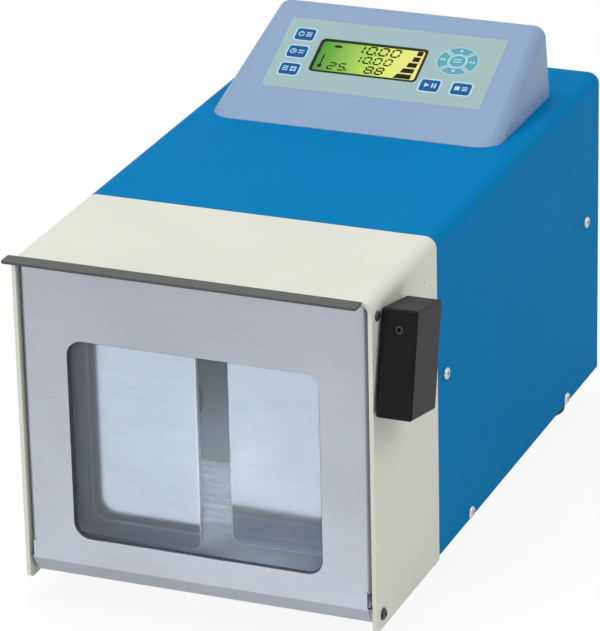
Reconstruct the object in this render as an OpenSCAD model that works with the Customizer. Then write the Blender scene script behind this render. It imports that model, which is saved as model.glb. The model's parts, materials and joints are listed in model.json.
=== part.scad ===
// Paddle blender homogenizer: a bench-top bag mixer. Two steel paddles squeeze a sample bag against
// a drop-down glazed door, driven by an eccentric shaft, and a sloping console stands on the casing.
// Millimetres. X runs to the right, Y from the door to the back and Z up.

/* [Body] */
// Width over the sheet-metal covers
body_w = 220; // [214:1:236]
// Depth from the door plane to the rear panel
body_d = 400; // [394:1:440]
// Height of the covers from their lower edge to the top
body_h = 202; // [199:0.5:225]
// Thickness of the rear casing, base and panels
sheet_t = 1.5; // [1.2:0.1:1.8]
// Thickness of the front hood's walls
hood_t = 2.5; // [2:0.1:2.9]
// Outer radius of the long top edges
edge_r = 7; // [4:0.5:9]
// Depth of the front hood
hood_d = 103.5; // [98:0.5:110]
// Open seam between the hood and the rear casing
seam_gap = 0.8; // [0.4:0.1:1.5]
// How far the hood's sides hang below the casing
hood_drop = 2.5; // [0:0.5:4]
// Height of the base plate's side flanges
base_lip = 12; // [9:0.5:16]

/* [Door] */
// Gap between the door's edges and the hood's walls
door_side_gap = 1.2; // [0.8:0.1:2]
// Gap under the hood's roof, above the door
door_top_gap = 0.3; // [0.2:0.1:1]
// Radius of the door's side bends
door_bend_r = 5; // [3:0.5:6]
// Depth of the door's side flanges
door_flange_d = 15; // [14:0.5:16]
// Height at which the side flanges start
flange_z = 22; // [20:0.5:26]
// Height of the crease above the door's tucked lower edge
crease_z = 12; // [11:0.5:14]
// Length of the tucked lower edge
tuck_len = 11.6; // [9:0.2:12]
// Angle of the tucked lower edge from upright
tuck_a = 30; // [24:1:34]
// Width of the door's frame beside the window
stile_w = 28.55; // [26:0.05:36]
// Height of the door's frame above the window
rail_h = 45.2; // [42.2:0.1:60]
// Height of the window's lower edge
window_z = 29; // [27:0.5:34]
// Corner radius of the window
window_r = 10; // [6:0.5:14]
// Thickness of the window pane
glass_t = 4; // [3:0.5:4.5]
// Thickness of the rubber gasket in front of the pane
gasket_t = 1; // [0.6:0.1:1.4]
// How far the pane runs past the window on each side
pane_lap = 9; // [7:0.5:10]
// How far the door's top lip stands forward
lip_d = 10.5; // [8:0.5:10.9]
// Height of the door's hinge axis
hinge_z = 6.1; // [5.6:0.1:6.6]
// Distance of the hinge axis behind the door plane
hinge_y = 10.3; // [9.8:0.1:10.8]
// Diameter of the hinge screws' shank
hinge_d = 6; // [5:0.5:6.5]

/* [Chamber] */
// Room between the hood's side walls and the sample chamber
chamber_side = 12.5; // [10.5:0.5:15.5]
// Height of the chamber's floor
chamber_z0 = 13; // [12.5:0.5:14]
// Room between the hood's roof and the chamber's ceiling
chamber_top = 32.5; // [30.5:0.5:37.5]
// Distance of the chamber's rear wall behind the door plane
chamber_y1 = 65; // [62:0.5:68]
// Distance of the chamber's front edge behind the door plane
chamber_y0 = 9.5; // [9:0.1:10]
// Thickness of the chamber's walls
liner_t = 1.2; // [0.8:0.1:1.5]
// Distance of the fascia behind the door plane
fascia_y = 16.6; // [16.4:0.1:18]
// Number of ribs across the lower rear wall
rib_count = 5; // [3:1:6]
// Pitch of the ribs
rib_pitch = 9.4; // [8:0.2:10]
// Radius of a rib
rib_r = 3; // [2:0.2:3.6]

/* [Paddles] */
// Gap between a paddle plate and the chamber's side wall
paddle_side = 3.8; // [1.8:0.2:14.8]
// Gap between the paddle plates and the chamber's ceiling
paddle_top = 6.5; // [2.5:0.5:24.5]
// Height of the paddles' lower edge
paddle_z = 22.5; // [20:0.5:24]
// Gap between the two paddles
paddle_gap = 12.4; // [8:0.2:16]
// Thickness of a paddle plate
paddle_t = 4; // [3:0.5:5]
// Corner radius of a paddle plate
paddle_r = 6; // [3:0.5:10]
// Distance of a paddle's face behind the door plane when it is fully forward
paddle_y = 20; // [19:0.5:22]
// Diameter of a push rod
rod_d = 12; // [10:0.5:14]
// Distance of a push rod from the middle of the machine
rod_x = 44; // [42:0.5:46]
// Height of the push rods and of the crank axis
rod_z = 98; // [92:0.5:104]
// Diameter of a paddle's hub
hub_d = 26; // [20:1:30]
// Length of a paddle's hub
hub_len = 10; // [8:0.5:12]
// Diameter of a rod seal's flange
seal_d = 44; // [34:1:50]
// Thickness of a rod seal's flange
seal_t = 4; // [3:0.5:5]

/* [Drive] */
// Distance of the crank axis behind the door plane
crank_y = 150; // [149:0.5:158]
// Offset of each eccentric, half of a paddle's stroke
crank_e = 8; // [6:0.5:9]
// Diameter of the crankshaft
crank_d = 18; // [14:0.5:19]
// Diameter of an eccentric
ecc_d = 36; // [36:0.5:40]
// Width of an eccentric and of the ring on it
ecc_w = 12; // [8:0.5:14]
// Outer diameter of the ring on an eccentric
ring_d = 48; // [46:0.5:50]
// Room on each side of the ring in its yoke
yoke_gap = 2; // [1.9:0.1:2.4]
// Width of a yoke's rails
yoke_rail = 6; // [4:0.5:7]
// Room above and below the ring's travel in its yoke
yoke_over = 1; // [0.5:0.1:2]
// Length of the guide bushes
bush_len = 34; // [26:1:35]
// Outer diameter of the guide bushes
bush_d = 20; // [17:0.5:24]
// Outer diameter of the bosses that hold the bushes
boss_d = 34; // [30:1:40]
// Outer diameter of the crankshaft's bearings
bearing_d = 40; // [34:1:44]
// Width of a bearing pedestal
pedestal_w = 56; // [52:1:60]
// Thickness of a bearing pedestal
pedestal_t = 12; // [9:0.5:13]
// Room between the belt pulleys and the hood's side wall
belt_side = 9.5; // [7.5:0.5:13.5]
// Gap between the right pedestal and the crank pulley
pulley_gap = 8; // [6:0.5:10]
// Width of the belt pulleys
pulley_w = 12; // [10:0.5:13]
// Radius of the belt track on the crank pulley
big_r = 42; // [39:1:44]
// Radius of the belt track on the motor pulley
small_r = 14; // [13:0.5:15]
// Height of the pulleys' flanges above the belt track
pulley_lip = 3; // [2:0.5:4]
// Thickness of the drive belt
belt_t = 3.5; // [2:0.5:4]
// Distance of the motor's axis behind the door plane
motor_y = 275; // [262:1:290]
// Height of the motor's axis
motor_z = 70; // [62:1:80]
// Diameter of the motor
motor_d = 70; // [56:1:80]
// Length of the motor
motor_len = 96; // [80:1:104]
// Thickness of the motor bracket
bracket_t = 4; // [3:0.5:5]
// Length of the bracket's foot under the motor
bracket_foot = 30; // [20:1:40]
// Length along the motor and width of its terminal box
terminal = [32, 32]; // [20:1:44]
// Height of the terminal box over the motor
terminal_h = 12; // [8:1:16]
// Distance of the terminal box behind the motor's front face
terminal_back = 38; // [34:1:50]
// Diameter of the motor's shaft
motor_shaft_d = 10; // [8:0.5:12]

/* [Latch] */
// Distance of the latch shaft below the hood's roof
latch_top = 19.8; // [18.5:0.1:20.1]
// Distance of the latch shaft behind the door plane
latch_y = 28.6; // [28.2:0.1:29.6]
// Diameter of the latch shaft
latch_d = 8; // [6:0.5:9]
// Forward swing of the handle's lower end at rest
latch_tilt = 11.7; // [11:0.1:13]
// Width of the handle block
handle_w = 21.5; // [16:0.5:24]
// Depth of the handle block
handle_d = 40; // [32:0.5:46]
// Length of the handle block
handle_len = 63; // [54:0.5:72]
// Distance of the shaft below the handle's top
handle_top = 12; // [10:0.5:16]
// Width of the handle's bevels
handle_bevel = 1; // [0.6:0.1:4]
// Gap between the hood and the handle
handle_gap = 1.5; // [1.2:0.1:5]
// Thickness of a latch hook
hook_t = 4; // [3:0.5:4.5]
// Diameter of the catch pins on the door
catch_d = 5; // [4:0.5:5]
// Distance of a catch pin below the latch shaft
catch_drop = 9.7; // [9.5:0.1:10.2]
// Distance of a catch pin in front of the latch shaft
catch_fore = 17.1; // [16.8:0.1:17.4]
// Depth by which a locked hook reaches below the top of its pin
hook_bite = 3.2; // [2.6:0.1:3.3]
// Thickness of a hook's nose
nose_t = 3.2; // [2.4:0.1:3.3]

/* [Console] */
// Width of the console's foot
console_w = 189; // [182:1:196]
// Distance of the console's foot in front of the rear panel
console_back = 45; // [31:1:53]
// Depth of the console's foot
console_d = 107; // [102:1:112]
// Height of the console's ridge above the casing
console_h = 46; // [42:0.5:52]
// Corner radius of the console's foot
console_r = 15; // [9:0.5:17]
// Radius of the ridge's rounded corners
ridge_r = 8; // [6:0.5:9]
// Radius of the edges between the slope and the console's sides at the front
slope_r = 8; // [5:0.5:9]
// How far the ridge is narrower than the foot at the left and at the right
ridge_in = [9.5, 2]; // [2:0.5:9]
// Wall thickness of the console
console_t = 3; // [2.5:0.1:3]
// Width of the keypad overlay
panel_w = 145.6; // [143:0.2:148]
// Height of the keypad overlay along the slope
panel_h = 63.6; // [61:0.2:64]
// Distance of the overlay's lower edge up the slope
panel_s = 30.2; // [28:0.2:32]
// Offset of the overlay's middle to the right
panel_x = 2; // [0:0.5:3]
// Thickness of the overlay
panel_t = 0.8; // [0.5:0.1:0.8]
// Width of the display
lcd_w = 71; // [60:0.1:72]
// Height of the display
lcd_h = 29.1; // [24:0.1:30]

/* [Keys] */
// Width of the rectangular keys
key_w = 12.2; // [10:0.1:13]
// Height of the rectangular keys
key_h = 9.6; // [8:0.1:10.5]
// Pitch of the three keys at the left
key_pitch = 15.5; // [13:0.1:16]
// Travel of each key
key_travel = 0.5; // [0.3:0.05:0.55]
// How far the keys stand above the overlay
key_proud = 0.35; // [0.1:0.05:0.6]
// Half width of the oval arrow pad
pad_rx = 12.8; // [11.5:0.1:14.6]
// Half height of the oval arrow pad
pad_ry = 11.5; // [10.5:0.1:12.9]
// Radius of the pad's middle key
enter_r = 4.8; // [4:0.1:5.4]
// Gap between neighbouring arrow keys
pad_gap = 2.8; // [1.4:0.1:3.4]

/* [Feet and rear] */
// Height of the rubber feet
foot_h = 16; // [15.5:0.5:20]
// Diameter of the rubber feet
foot_d = 25; // [20:0.5:28]
// Distance of the feet's middles from the casing's sides
foot_in = 20.5; // [18:0.5:26]
// Distance of the front feet behind the door plane
foot_y0 = 119; // [112:1:130]
// Distance of the rear feet's middles in front of the rear panel
foot_back = 44; // [34:1:60]
// Diameter of the side screws' heads
screw_head_d = 7.5; // [6:0.5:8]
// Height of the side screws' heads
screw_head_h = 2.2; // [1.5:0.1:2.6]
// Distance of the mains inlet and the switch from the left side
inlet_side = 44; // [38:1:54]
// Height of the mains inlet
inlet_z = 40; // [36:1:46]
// Height of the power switch
switch_z = 82; // [76:1:92]
// Number of cooling slots in the rear panel
vent_count = 5; // [3:1:6]
// Pitch of the cooling slots
vent_pitch = 16; // [13:0.5:18]
// Width of a cooling slot
vent_w = 64; // [40:1:70]
// Height of a cooling slot
vent_h = 8; // [5:0.5:9]
// Height of the lowest cooling slot
vent_z = 60; // [54:1:64]
// Distance of the cooling slots to the right of the middle
vent_x = 50; // [44:1:52]

/* [Boards] */
// Gap between the boards on the base and the casing's left wall
board_side = 6; // [3:0.5:8]
// Thickness of the boards on the base
board_t = 4; // [2.5:0.5:6]
// Width of the power supply
supply_w = 48; // [44:1:52]
// Depth of the power supply
supply_d = 66; // [62:1:76]
// Gap between the power supply and the rear panel
supply_back = 35; // [28:1:38]
// Height of the power supply's cooling plate
supply_h = 34; // [28:1:40]
// Width of the motor driver
driver_w = 54; // [50:1:56]
// Depth of the motor driver
driver_d = 64; // [60:1:76]
// Gap between the crank pedestal and the motor driver
driver_gap = 12; // [4:1:20]
// Height of the motor driver's fins
fin_h = 26; // [18:1:36]
// Number of fins on the motor driver
fin_count = 6; // [4:1:7]
// Pitch of the fins
fin_pitch = 8; // [6:0.5:8.5]

/* [Clearances] */
// Gap between fixed pieces that slip into one another
fit_gap = 0.2; // [0.1:0.05:0.3]
// Radial gap between a shaft and the hole it runs in
run_gap = 0.05; // [0.03:0.01:0.08]
// Radial gap between a fixed pin and its hole
pin_gap = 0.02; // [0.01:0.01:0.04]
// Gap between pieces that move past each other
move_gap = 0.3; // [0.25:0.05:0.4]

/* [Hidden] */
$fn = 48;
eps = 0.01;
far = 600;
in_hw = body_w / 2 - sheet_t;
hood_hw = body_w / 2 - hood_t;
side_x = body_w / 2;
door_hw = hood_hw - door_side_gap;
door_top = body_h - hood_t - door_top_gap;
door_in = door_hw - sheet_t;
chamber_w = 2 * (hood_hw - chamber_side);
chamber_z1 = body_h - hood_t - chamber_top;
paddle_w = (chamber_w - paddle_gap) / 2 - paddle_side;
paddle_h = chamber_z1 - paddle_top - paddle_z;
window_w = 2 * (door_hw - stile_w);
window_h = door_top - rail_h - window_z;
latch_z = body_h - hood_t - latch_top;
foot_x = side_x - foot_in;
foot_y1 = body_d - foot_back;
console_y0 = body_d - console_back - console_d;
window_mid_z = window_z + window_h / 2;
pane_w = window_w + 2 * pane_lap;
pane_h = window_h + 2 * pane_lap;
pane_y0 = sheet_t + gasket_t;
pane_y1 = pane_y0 + glass_t;
liner_hw = chamber_w / 2 + liner_t;
hook_x = (liner_hw + door_in) / 2 - hook_t / 2;
// Left and right ends of the door's lip, which sits a little to the left
lip_x0 = -(side_x + 1.5);
lip_x1 = side_x - 5.5;
// Left paddle forward and right paddle back, as the eccentrics stand at rest
stroke = 2 * crank_e;
yoke_in_y = ring_d + 2 * yoke_gap;
yoke_in_z = ring_d + stroke + 2 * yoke_over;
yoke_y = yoke_in_y + 2 * yoke_rail;
yoke_z = yoke_in_z + 2 * yoke_rail;
housing_y0 = chamber_y1 + liner_t;
plate_t = 8;
crank_end_x = hood_hw - belt_side;
pulley_x0 = crank_end_x - pulley_w;
pedestal_x = pulley_x0 - pulley_gap - pedestal_t;
motor_face_x = pulley_x0 - 24;
inlet_x = body_w / 2 - inlet_side;
belt_w = pulley_w - 4 - 2 * move_gap;
handle_x0 = side_x + handle_gap;
bush_flange = handle_gap - move_gap;
// Ridge of the console and the slope that runs up to it
foot_lip = 0.5;
ridge_y = console_y0 + console_d - 1 - ridge_r;
ridge_z = body_h + console_h - ridge_r;
ridge_x = [for (e = ridge_in) console_w / 2 - e - ridge_r];
slope_run = ridge_y - console_y0;
slope_rise = ridge_z - body_h - foot_lip;
slope_len = norm([slope_run, slope_rise]);
slope_a = atan2(slope_rise, slope_run) + asin(ridge_r / slope_len);
lcd_x = panel_x - 10.75;
lcd_s = panel_s + 32.3;
key_col_x = panel_x - 58.5;
key_row_s = panel_s + 17.3;
pad_x = panel_x + 45.5;
pad_s = panel_s + 39.7;
pad_in_r = enter_r + 1.8;
start_x = panel_x + 34.8;
stop_x = panel_x + 55.3;
low_key_s = panel_s + 16.4;
// Layers of the keypad below the overlay's face
key_top_n = key_proud;
flange_top_n = -panel_t - fit_gap;
flange_bot_n = -2;
board_n = -console_t - 0.05;
switch_top_n = flange_bot_n - key_travel - 0.1;
latch_bush_d = latch_d + 6;
hub_end = hood_hw - 2 - move_gap;
catch_y = latch_y - catch_fore;
catch_z = latch_z - catch_drop;
set_d = 5;
plug_y = 7.8;
plug_z = body_h - 10.7;
side_shank_d = 3.5;
side_shank = 5;
rear_shank_d = 3;
foot_stud_d = 4;
boss_d2 = 8;
// Rear fittings
inlet_face = 3;
inlet_body_w = 27;
inlet_body_h = 20;
inlet_hole_x = 20;
inlet_depth = 20;
bezel_body_w = 19.4;
bezel_body_h = 28;
bezel_t = 2;
rocker_w = 15;
rocker_r = 12;
rocker_pin = 3;
rocker_y = body_d - 2.5;
fuse_d = 12.6;
fuse_x = inlet_side + 34 - body_w / 2;
fuse_cap = 7;
// Reaches of the whole machine, for the origin under its middle
head_h = 1.8;
reach_left = max(side_x + max(head_h, screw_head_h), -lip_x0);
reach_right = handle_x0 + handle_w;
reach_front = lip_d;
reach_back = body_d + fuse_cap;
shift_x = (reach_left - reach_right) / 2;
shift_y = (reach_front - reach_back) / 2;

// Places of the side screws on the rear casing, as distance back and height
side_screws = [[hood_d + 12, 112.5], [hood_d + 53, 4.8], [body_d - 26.5, 110.7], [body_d - 65, 4.8]];
// Tabs behind the rear panel, which it is screwed to
tab_z = [20, body_h - 34];
tab_w = 12;
// Screw bosses inside the console
boss_places = [
    for (x = [-1, 1], y = [console_y0 + console_r + 2, console_y0 + console_d - 14])
        [x * (console_w / 2 - 13), y]
];

// Moves the machine so that its origin lies on the bench under its middle
module in_place() {
    translate([shift_x, shift_y, foot_h]) children();
}

// Extrudes an outline in X and Z along Y
module along_y(y0, y1) {
    translate([0, y1, 0]) rotate([90, 0, 0]) linear_extrude(y1 - y0) children();
}

// Extrudes an outline in Y and Z along X
module along_x(x0, x1) {
    translate([x0, 0, 0]) rotate([90, 0, 90]) linear_extrude(x1 - x0) children();
}

// Round bar along X
module bar_x(d, x0, x1, y, z) {
    translate([x0, y, z]) rotate([0, 90, 0]) cylinder(d = d, h = x1 - x0);
}

// Round bar along Y
module bar_y(d, y0, y1, x, z) {
    translate([x, y1, z]) rotate([90, 0, 0]) cylinder(d = d, h = y1 - y0);
}

// Box between two corners
module box(a, b) {
    translate(a) cube([b[0] - a[0], b[1] - a[1], b[2] - a[2]]);
}

// Rectangle with round corners about the origin
module round_rect(w, h, r) {
    square([w, h - 2 * r], center = true);
    square([w - 2 * r, h], center = true);
    for (i = [-1, 1], j = [-1, 1])
        translate([i * (w / 2 - r), j * (h / 2 - r)]) circle(r);
}

// Upright outline with round top corners, from z0 to z1
module arch(hw, z0, z1, r) {
    translate([-hw, z0]) square([2 * hw, z1 - z0 - r]);
    translate([r - hw, z0]) square([2 * (hw - r), z1 - z0]);
    for (s = [-1, 1])
        translate([s * (hw - r), z1 - r]) circle(r);
}

// Sheet cover over the top and both sides
module cover(y0, y1, z0, t) {
    along_y(y0, y1) difference() {
        arch(side_x, z0, body_h, edge_r);
        arch(side_x - t, z0 - 1, body_h - t, max(edge_r - t, 0.5));
    }
}

// Slope of the console: X across, Y up the slope and Z out of it
module on_slope() {
    translate([0, console_y0, body_h + foot_lip]) rotate([slope_a, 0, 0]) children();
}

// Pan-head screw along Z with its head's seat at the origin and a cross recess
module pan_screw(head_d, head_h, shank_d, shank_len) {
    difference() {
        union() {
            cylinder(d = head_d, h = head_h * 0.5);
            translate([0, 0, head_h * 0.5]) cylinder(d1 = head_d, d2 = head_d * 0.62, h = head_h * 0.5);
            translate([0, 0, -shank_len]) cylinder(d = shank_d, h = shank_len + eps);
        }
        for (a = [0, 90])
            rotate([0, 0, a]) translate([-head_d * 0.26, -0.45, head_h * 0.45])
                cube([head_d * 0.52, 0.9, head_h]);
    }
}

// Button-head screw along Z with a hexagon socket
module button_screw(head_d, head_h, shank_d, shank_len) {
    difference() {
        union() {
            cylinder(d = head_d, h = head_h * 0.4);
            translate([0, 0, head_h * 0.4]) cylinder(d1 = head_d, d2 = head_d * 0.6, h = head_h * 0.6);
            translate([0, 0, -shank_len]) cylinder(d = shank_d, h = shank_len + eps);
        }
        translate([0, 0, head_h * 0.25]) cylinder(d = head_d * 0.4, h = head_h, $fn = 6);
    }
}

// Puts a screw made along Z on the left or right wall, head outwards
module on_side(side, x, y, z) {
    translate([side * x, y, z]) rotate([0, side * 90, 0]) children();
}

module base_plate() {
    color("silver") difference() {
        union() {
            box([-hood_hw, fascia_y + sheet_t, 0], [hood_hw, hood_d + seam_gap / 2, sheet_t]);
            box([-in_hw, hood_d + seam_gap / 2, 0], [in_hw, body_d - sheet_t, sheet_t]);
            for (s = [0, 1]) mirror([s, 0, 0]) {
                box([hood_hw - sheet_t, fascia_y + sheet_t, 0],
                    [hood_hw, hood_d + seam_gap / 2, base_lip]);
                box([in_hw - sheet_t, hood_d + seam_gap / 2, 0],
                    [in_hw, body_d - sheet_t, base_lip]);
                for (y = [side_screws[0][0], side_screws[2][0]])
                    box([in_hw - sheet_t, y - 8, 0], [in_hw, y + 8, side_screws[0][1] + 8]);
            }
        }
        for (x = [-foot_x, foot_x], y = [foot_y0, foot_y1])
            translate([x, y, -1]) cylinder(d = foot_stud_d + 2 * pin_gap, h = sheet_t + 2);
        for (s = [-1, 1], p = side_screws)
            on_side(s, in_hw + 1, p[0], p[1]) translate([0, 0, -6])
                cylinder(d = side_shank_d + 2 * pin_gap, h = 8);
    }
}

module front_hood() {
    color("#E4E5DA") difference() {
        cover(0, hood_d, -hood_drop, hood_t);
        // Round lower front corners
        along_x(-far, far) difference() {
            translate([-1, -hood_drop - 1]) square([5, 5]);
            translate([4, 4 - hood_drop]) circle(4);
        }
        bar_x(latch_bush_d + 2 * pin_gap, -far, far, latch_y, latch_z);
        bar_x(hinge_d + 2 * pin_gap, -far, far, hinge_y, hinge_z);
        bar_x(4 + 2 * pin_gap, -far, far, plug_y, plug_z);
        bar_x(1.6, side_x - hood_t - 1, side_x + 1, 83.4, body_h - 20.2);
    }
}

module rear_casing() {
    color("#0A7DB4") difference() {
        union() {
            cover(hood_d + seam_gap, body_d, 0, sheet_t);
            // Rear tabs behind the rear panel
            for (s = [0, 1], z = tab_z) mirror([s, 0, 0])
                box([in_hw - tab_w, body_d - 2 * sheet_t, z - tab_w / 2],
                    [in_hw + eps, body_d - sheet_t, z + tab_w / 2]);
        }
        for (s = [-1, 1], p = side_screws)
            on_side(s, side_x + 1, p[0], p[1]) translate([0, 0, -4])
                cylinder(d = side_shank_d + 2 * pin_gap, h = 5);
        for (x = [-1, 1], z = tab_z)
            bar_y(rear_shank_d + 2 * pin_gap, body_d - 3 * sheet_t, body_d, x * (in_hw - tab_w / 2), z);
        // Cable way and screw holes under the console
        box([-30, ridge_y - 56, body_h - 10], [30, ridge_y - 16, body_h + 1]);
        for (p = boss_places)
            translate([p[0], p[1], body_h - 5]) cylinder(d = 3.5 + 2 * pin_gap, h = 10);
    }
}

module rear_panel() {
    color("#0A7DB4") difference() {
        along_y(body_d - sheet_t, body_d)
            arch(in_hw - fit_gap, 0, body_h - sheet_t - fit_gap, edge_r - sheet_t);
        box([-inlet_x - inlet_body_w / 2 - fit_gap, body_d - 5, inlet_z - inlet_body_h / 2 - fit_gap],
            [-inlet_x + inlet_body_w / 2 + fit_gap, body_d + 1, inlet_z + inlet_body_h / 2 + fit_gap]);
        box([-inlet_x - bezel_body_w / 2 - fit_gap, body_d - 5, switch_z - bezel_body_h / 2 - fit_gap],
            [-inlet_x + bezel_body_w / 2 + fit_gap, body_d + 1, switch_z + bezel_body_h / 2 + fit_gap]);
        bar_y(fuse_d + 2 * fit_gap, body_d - 5, body_d + 1, fuse_x, inlet_z);
        for (i = [0 : vent_count - 1])
            translate([vent_x, body_d, vent_z + i * vent_pitch]) rotate([90, 0, 0])
                linear_extrude(10, center = true) round_rect(vent_w, vent_h, vent_h / 2 - 0.1);
        for (x = [-1, 1], z = tab_z)
            bar_y(rear_shank_d + 2 * pin_gap, body_d - 5, body_d + 1, x * (in_hw - tab_w / 2), z);
        for (x = [-1, 1])
            bar_y(rear_shank_d + 2 * pin_gap, body_d - 5, body_d + 1, x * inlet_hole_x - inlet_x, inlet_z);
    }
}

module front_fascia() {
    notch_x = hook_x + hook_t / 2;
    color("#B9BCC8") difference() {
        along_y(fascia_y, fascia_y + sheet_t)
            arch(hood_hw - fit_gap, 0, body_h - hood_t - fit_gap, edge_r - hood_t);
        box([-liner_hw - fit_gap, 0, chamber_z0 - liner_t - fit_gap],
            [liner_hw + fit_gap, far, chamber_z1 + liner_t + fit_gap]);
        // Notches that the latch hooks reach through
        for (s = [-1, 1])
            box([s * notch_x - hook_t / 2 - 1.2, 0, latch_z - catch_drop - 5],
                [s * notch_x + hook_t / 2 + 1.2, far, body_h + 1]);
    }
}

module chamber_liner() {
    color("#66727D") difference() {
        union() {
            box([-liner_hw, chamber_y0, chamber_z0 - liner_t],
                [liner_hw, chamber_y1 + liner_t, chamber_z1 + liner_t]);
            // Legs that stand on the base plate
            for (s = [0, 1]) mirror([s, 0, 0])
                box([liner_hw - 8, fascia_y + 8, sheet_t],
                    [liner_hw - 8 + liner_t, chamber_y1, chamber_z0 - liner_t + eps]);
        }
        difference() {
            box([-chamber_w / 2, 0, chamber_z0], [chamber_w / 2, chamber_y1, chamber_z1]);
            // Ribs across the lower rear wall
            for (i = [0 : rib_count - 1])
                bar_x(2 * rib_r, -chamber_w / 2 - eps, chamber_w / 2 + eps,
                    chamber_y1 + rib_r - 1.8, chamber_z0 + rib_pitch * (i + 0.6));
            // Low lip along the front of the floor
            box([-chamber_w / 2 - eps, chamber_y0, chamber_z0 - eps],
                [chamber_w / 2 + eps, chamber_y0 + liner_t, chamber_z0 + 3]);
        }
        for (s = [-1, 1])
            bar_y(rod_d + 2, chamber_y1 - 5, chamber_y1 + 5, s * rod_x, rod_z);
    }
}

module rod_seals() {
    color("#3C4248") for (s = [-1, 1]) difference() {
        union() {
            bar_y(seal_d, chamber_y1 - seal_t, chamber_y1, s * rod_x, rod_z);
            bar_y(rod_d + 10, chamber_y1 - seal_t - 3, chamber_y1, s * rod_x, rod_z);
        }
        bar_y(rod_d + 2 * run_gap, 0, far, s * rod_x, rod_z);
    }
}

module bush_housing() {
    color("lightgray") difference() {
        union() {
            box([-rod_x - boss_d / 2 - 8, housing_y0, sheet_t],
                [rod_x + boss_d / 2 + 8, housing_y0 + plate_t, rod_z + boss_d / 2 + 4]);
            for (s = [-1, 1])
                bar_y(boss_d, housing_y0, housing_y0 + bush_len + 1, s * rod_x, rod_z);
            box([-rod_x - boss_d / 2 - 8, housing_y0, sheet_t],
                [rod_x + boss_d / 2 + 8, housing_y0 + 30, sheet_t + 6]);
        }
        for (s = [-1, 1])
            bar_y(bush_d + 2 * pin_gap, 0, far, s * rod_x, rod_z);
    }
}

module rod_bushes() {
    color("#B08D4A") for (s = [-1, 1]) difference() {
        bar_y(bush_d, housing_y0, housing_y0 + bush_len, s * rod_x, rod_z);
        bar_y(rod_d + 2 * run_gap, 0, far, s * rod_x, rod_z);
    }
}

module crank_pedestals() {
    color("lightgray") for (s = [0, 1]) mirror([s, 0, 0]) difference() {
        union() {
            box([pedestal_x, crank_y - pedestal_w / 2, sheet_t],
                [pedestal_x + pedestal_t, crank_y + pedestal_w / 2, rod_z]);
            bar_x(pedestal_w, pedestal_x, pedestal_x + pedestal_t, crank_y, rod_z);
            box([pedestal_x - 10, crank_y - pedestal_w / 2, sheet_t],
                [pedestal_x + pedestal_t, crank_y + pedestal_w / 2, sheet_t + 8]);
        }
        bar_x(bearing_d + 2 * pin_gap, 0, far, crank_y, rod_z);
    }
}

module crank_bearings() {
    color("silver") for (s = [0, 1]) mirror([s, 0, 0]) difference() {
        bar_x(bearing_d, pedestal_x, pedestal_x + pedestal_t, crank_y, rod_z);
        bar_x(crank_d + 2 * run_gap, 0, far, crank_y, rod_z);
        // Grooves between the inner and outer race
        for (x = [pedestal_x - 1, pedestal_x + pedestal_t - 1]) difference() {
            bar_x(bearing_d - 7, x, x + 2, crank_y, rod_z);
            bar_x(crank_d + 8, x - 1, x + 3, crank_y, rod_z);
        }
    }
}

module crankshaft() {
    color("silver") {
        bar_x(crank_d, -pedestal_x - pedestal_t - 4, crank_end_x, crank_y, rod_z);
        for (s = [-1, 1])
            bar_x(ecc_d, s * rod_x - ecc_w / 2, s * rod_x + ecc_w / 2, crank_y + s * crank_e, rod_z);
    }
}

module eccentric_rings() {
    color("#8A8F94") for (s = [-1, 1]) difference() {
        bar_x(ring_d, s * rod_x - ecc_w / 2, s * rod_x + ecc_w / 2, crank_y + s * crank_e, rod_z);
        bar_x(ecc_d + 2 * pin_gap, -far, far, crank_y + s * crank_e, rod_z);
    }
}

// Flanged belt pulley along X with its track of radius r
module pulley(r, bore, y, z) {
    difference() {
        translate([pulley_x0, y, z]) rotate([0, 90, 0]) rotate_extrude() difference() {
            square([r + pulley_lip, pulley_w]);
            translate([r, 2]) square([pulley_lip + 1, pulley_w - 4]);
        }
        bar_x(bore + 2 * pin_gap, -far, far, y, z);
    }
}

module crank_pulley() {
    color("#6D7277") difference() {
        pulley(big_r, crank_d, crank_y, rod_z);
        for (a = [0 : 60 : 300])
            bar_x(16, -far, far, crank_y + 26 * cos(a), rod_z + 26 * sin(a));
    }
}

// Points along an arc
function arc(c, r, a0, a1, n) =
    [for (i = [0 : n]) let (a = a0 + (a1 - a0) * i / n) [c[0] + r * cos(a), c[1] + r * sin(a)]];

// Outline of the belt loop at a distance out from both pulley tracks
module belt_outline(out) {
    run = [motor_y - crank_y, motor_z - rod_z];
    turn = atan2(run[1], run[0]);
    wrap = acos((big_r - small_r) / norm(run));
    polygon(concat(
        arc([crank_y, rod_z], big_r + out, turn + wrap, turn + 360 - wrap, 40),
        arc([motor_y, motor_z], small_r + out, turn - wrap, turn + wrap, 24)
    ));
}

module drive_belt() {
    x0 = pulley_x0 + 2 + move_gap;
    color("#1C1C1C") along_x(x0, x0 + belt_w) difference() {
        belt_outline(move_gap + belt_t);
        belt_outline(move_gap);
    }
}

module motor_bracket() {
    color("silver") difference() {
        union() {
            box([motor_face_x, motor_y - motor_d / 2 - 4, sheet_t],
                [motor_face_x + bracket_t, motor_y + motor_d / 2 + 4, motor_z + motor_d / 2]);
            box([motor_face_x - bracket_foot, motor_y - motor_d / 2 - 4, sheet_t],
                [motor_face_x + bracket_t, motor_y + motor_d / 2 + 4, sheet_t + bracket_t]);
        }
        bar_x(motor_shaft_d + 12 + 2 * fit_gap, 0, far, motor_y, motor_z);
    }
}

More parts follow.
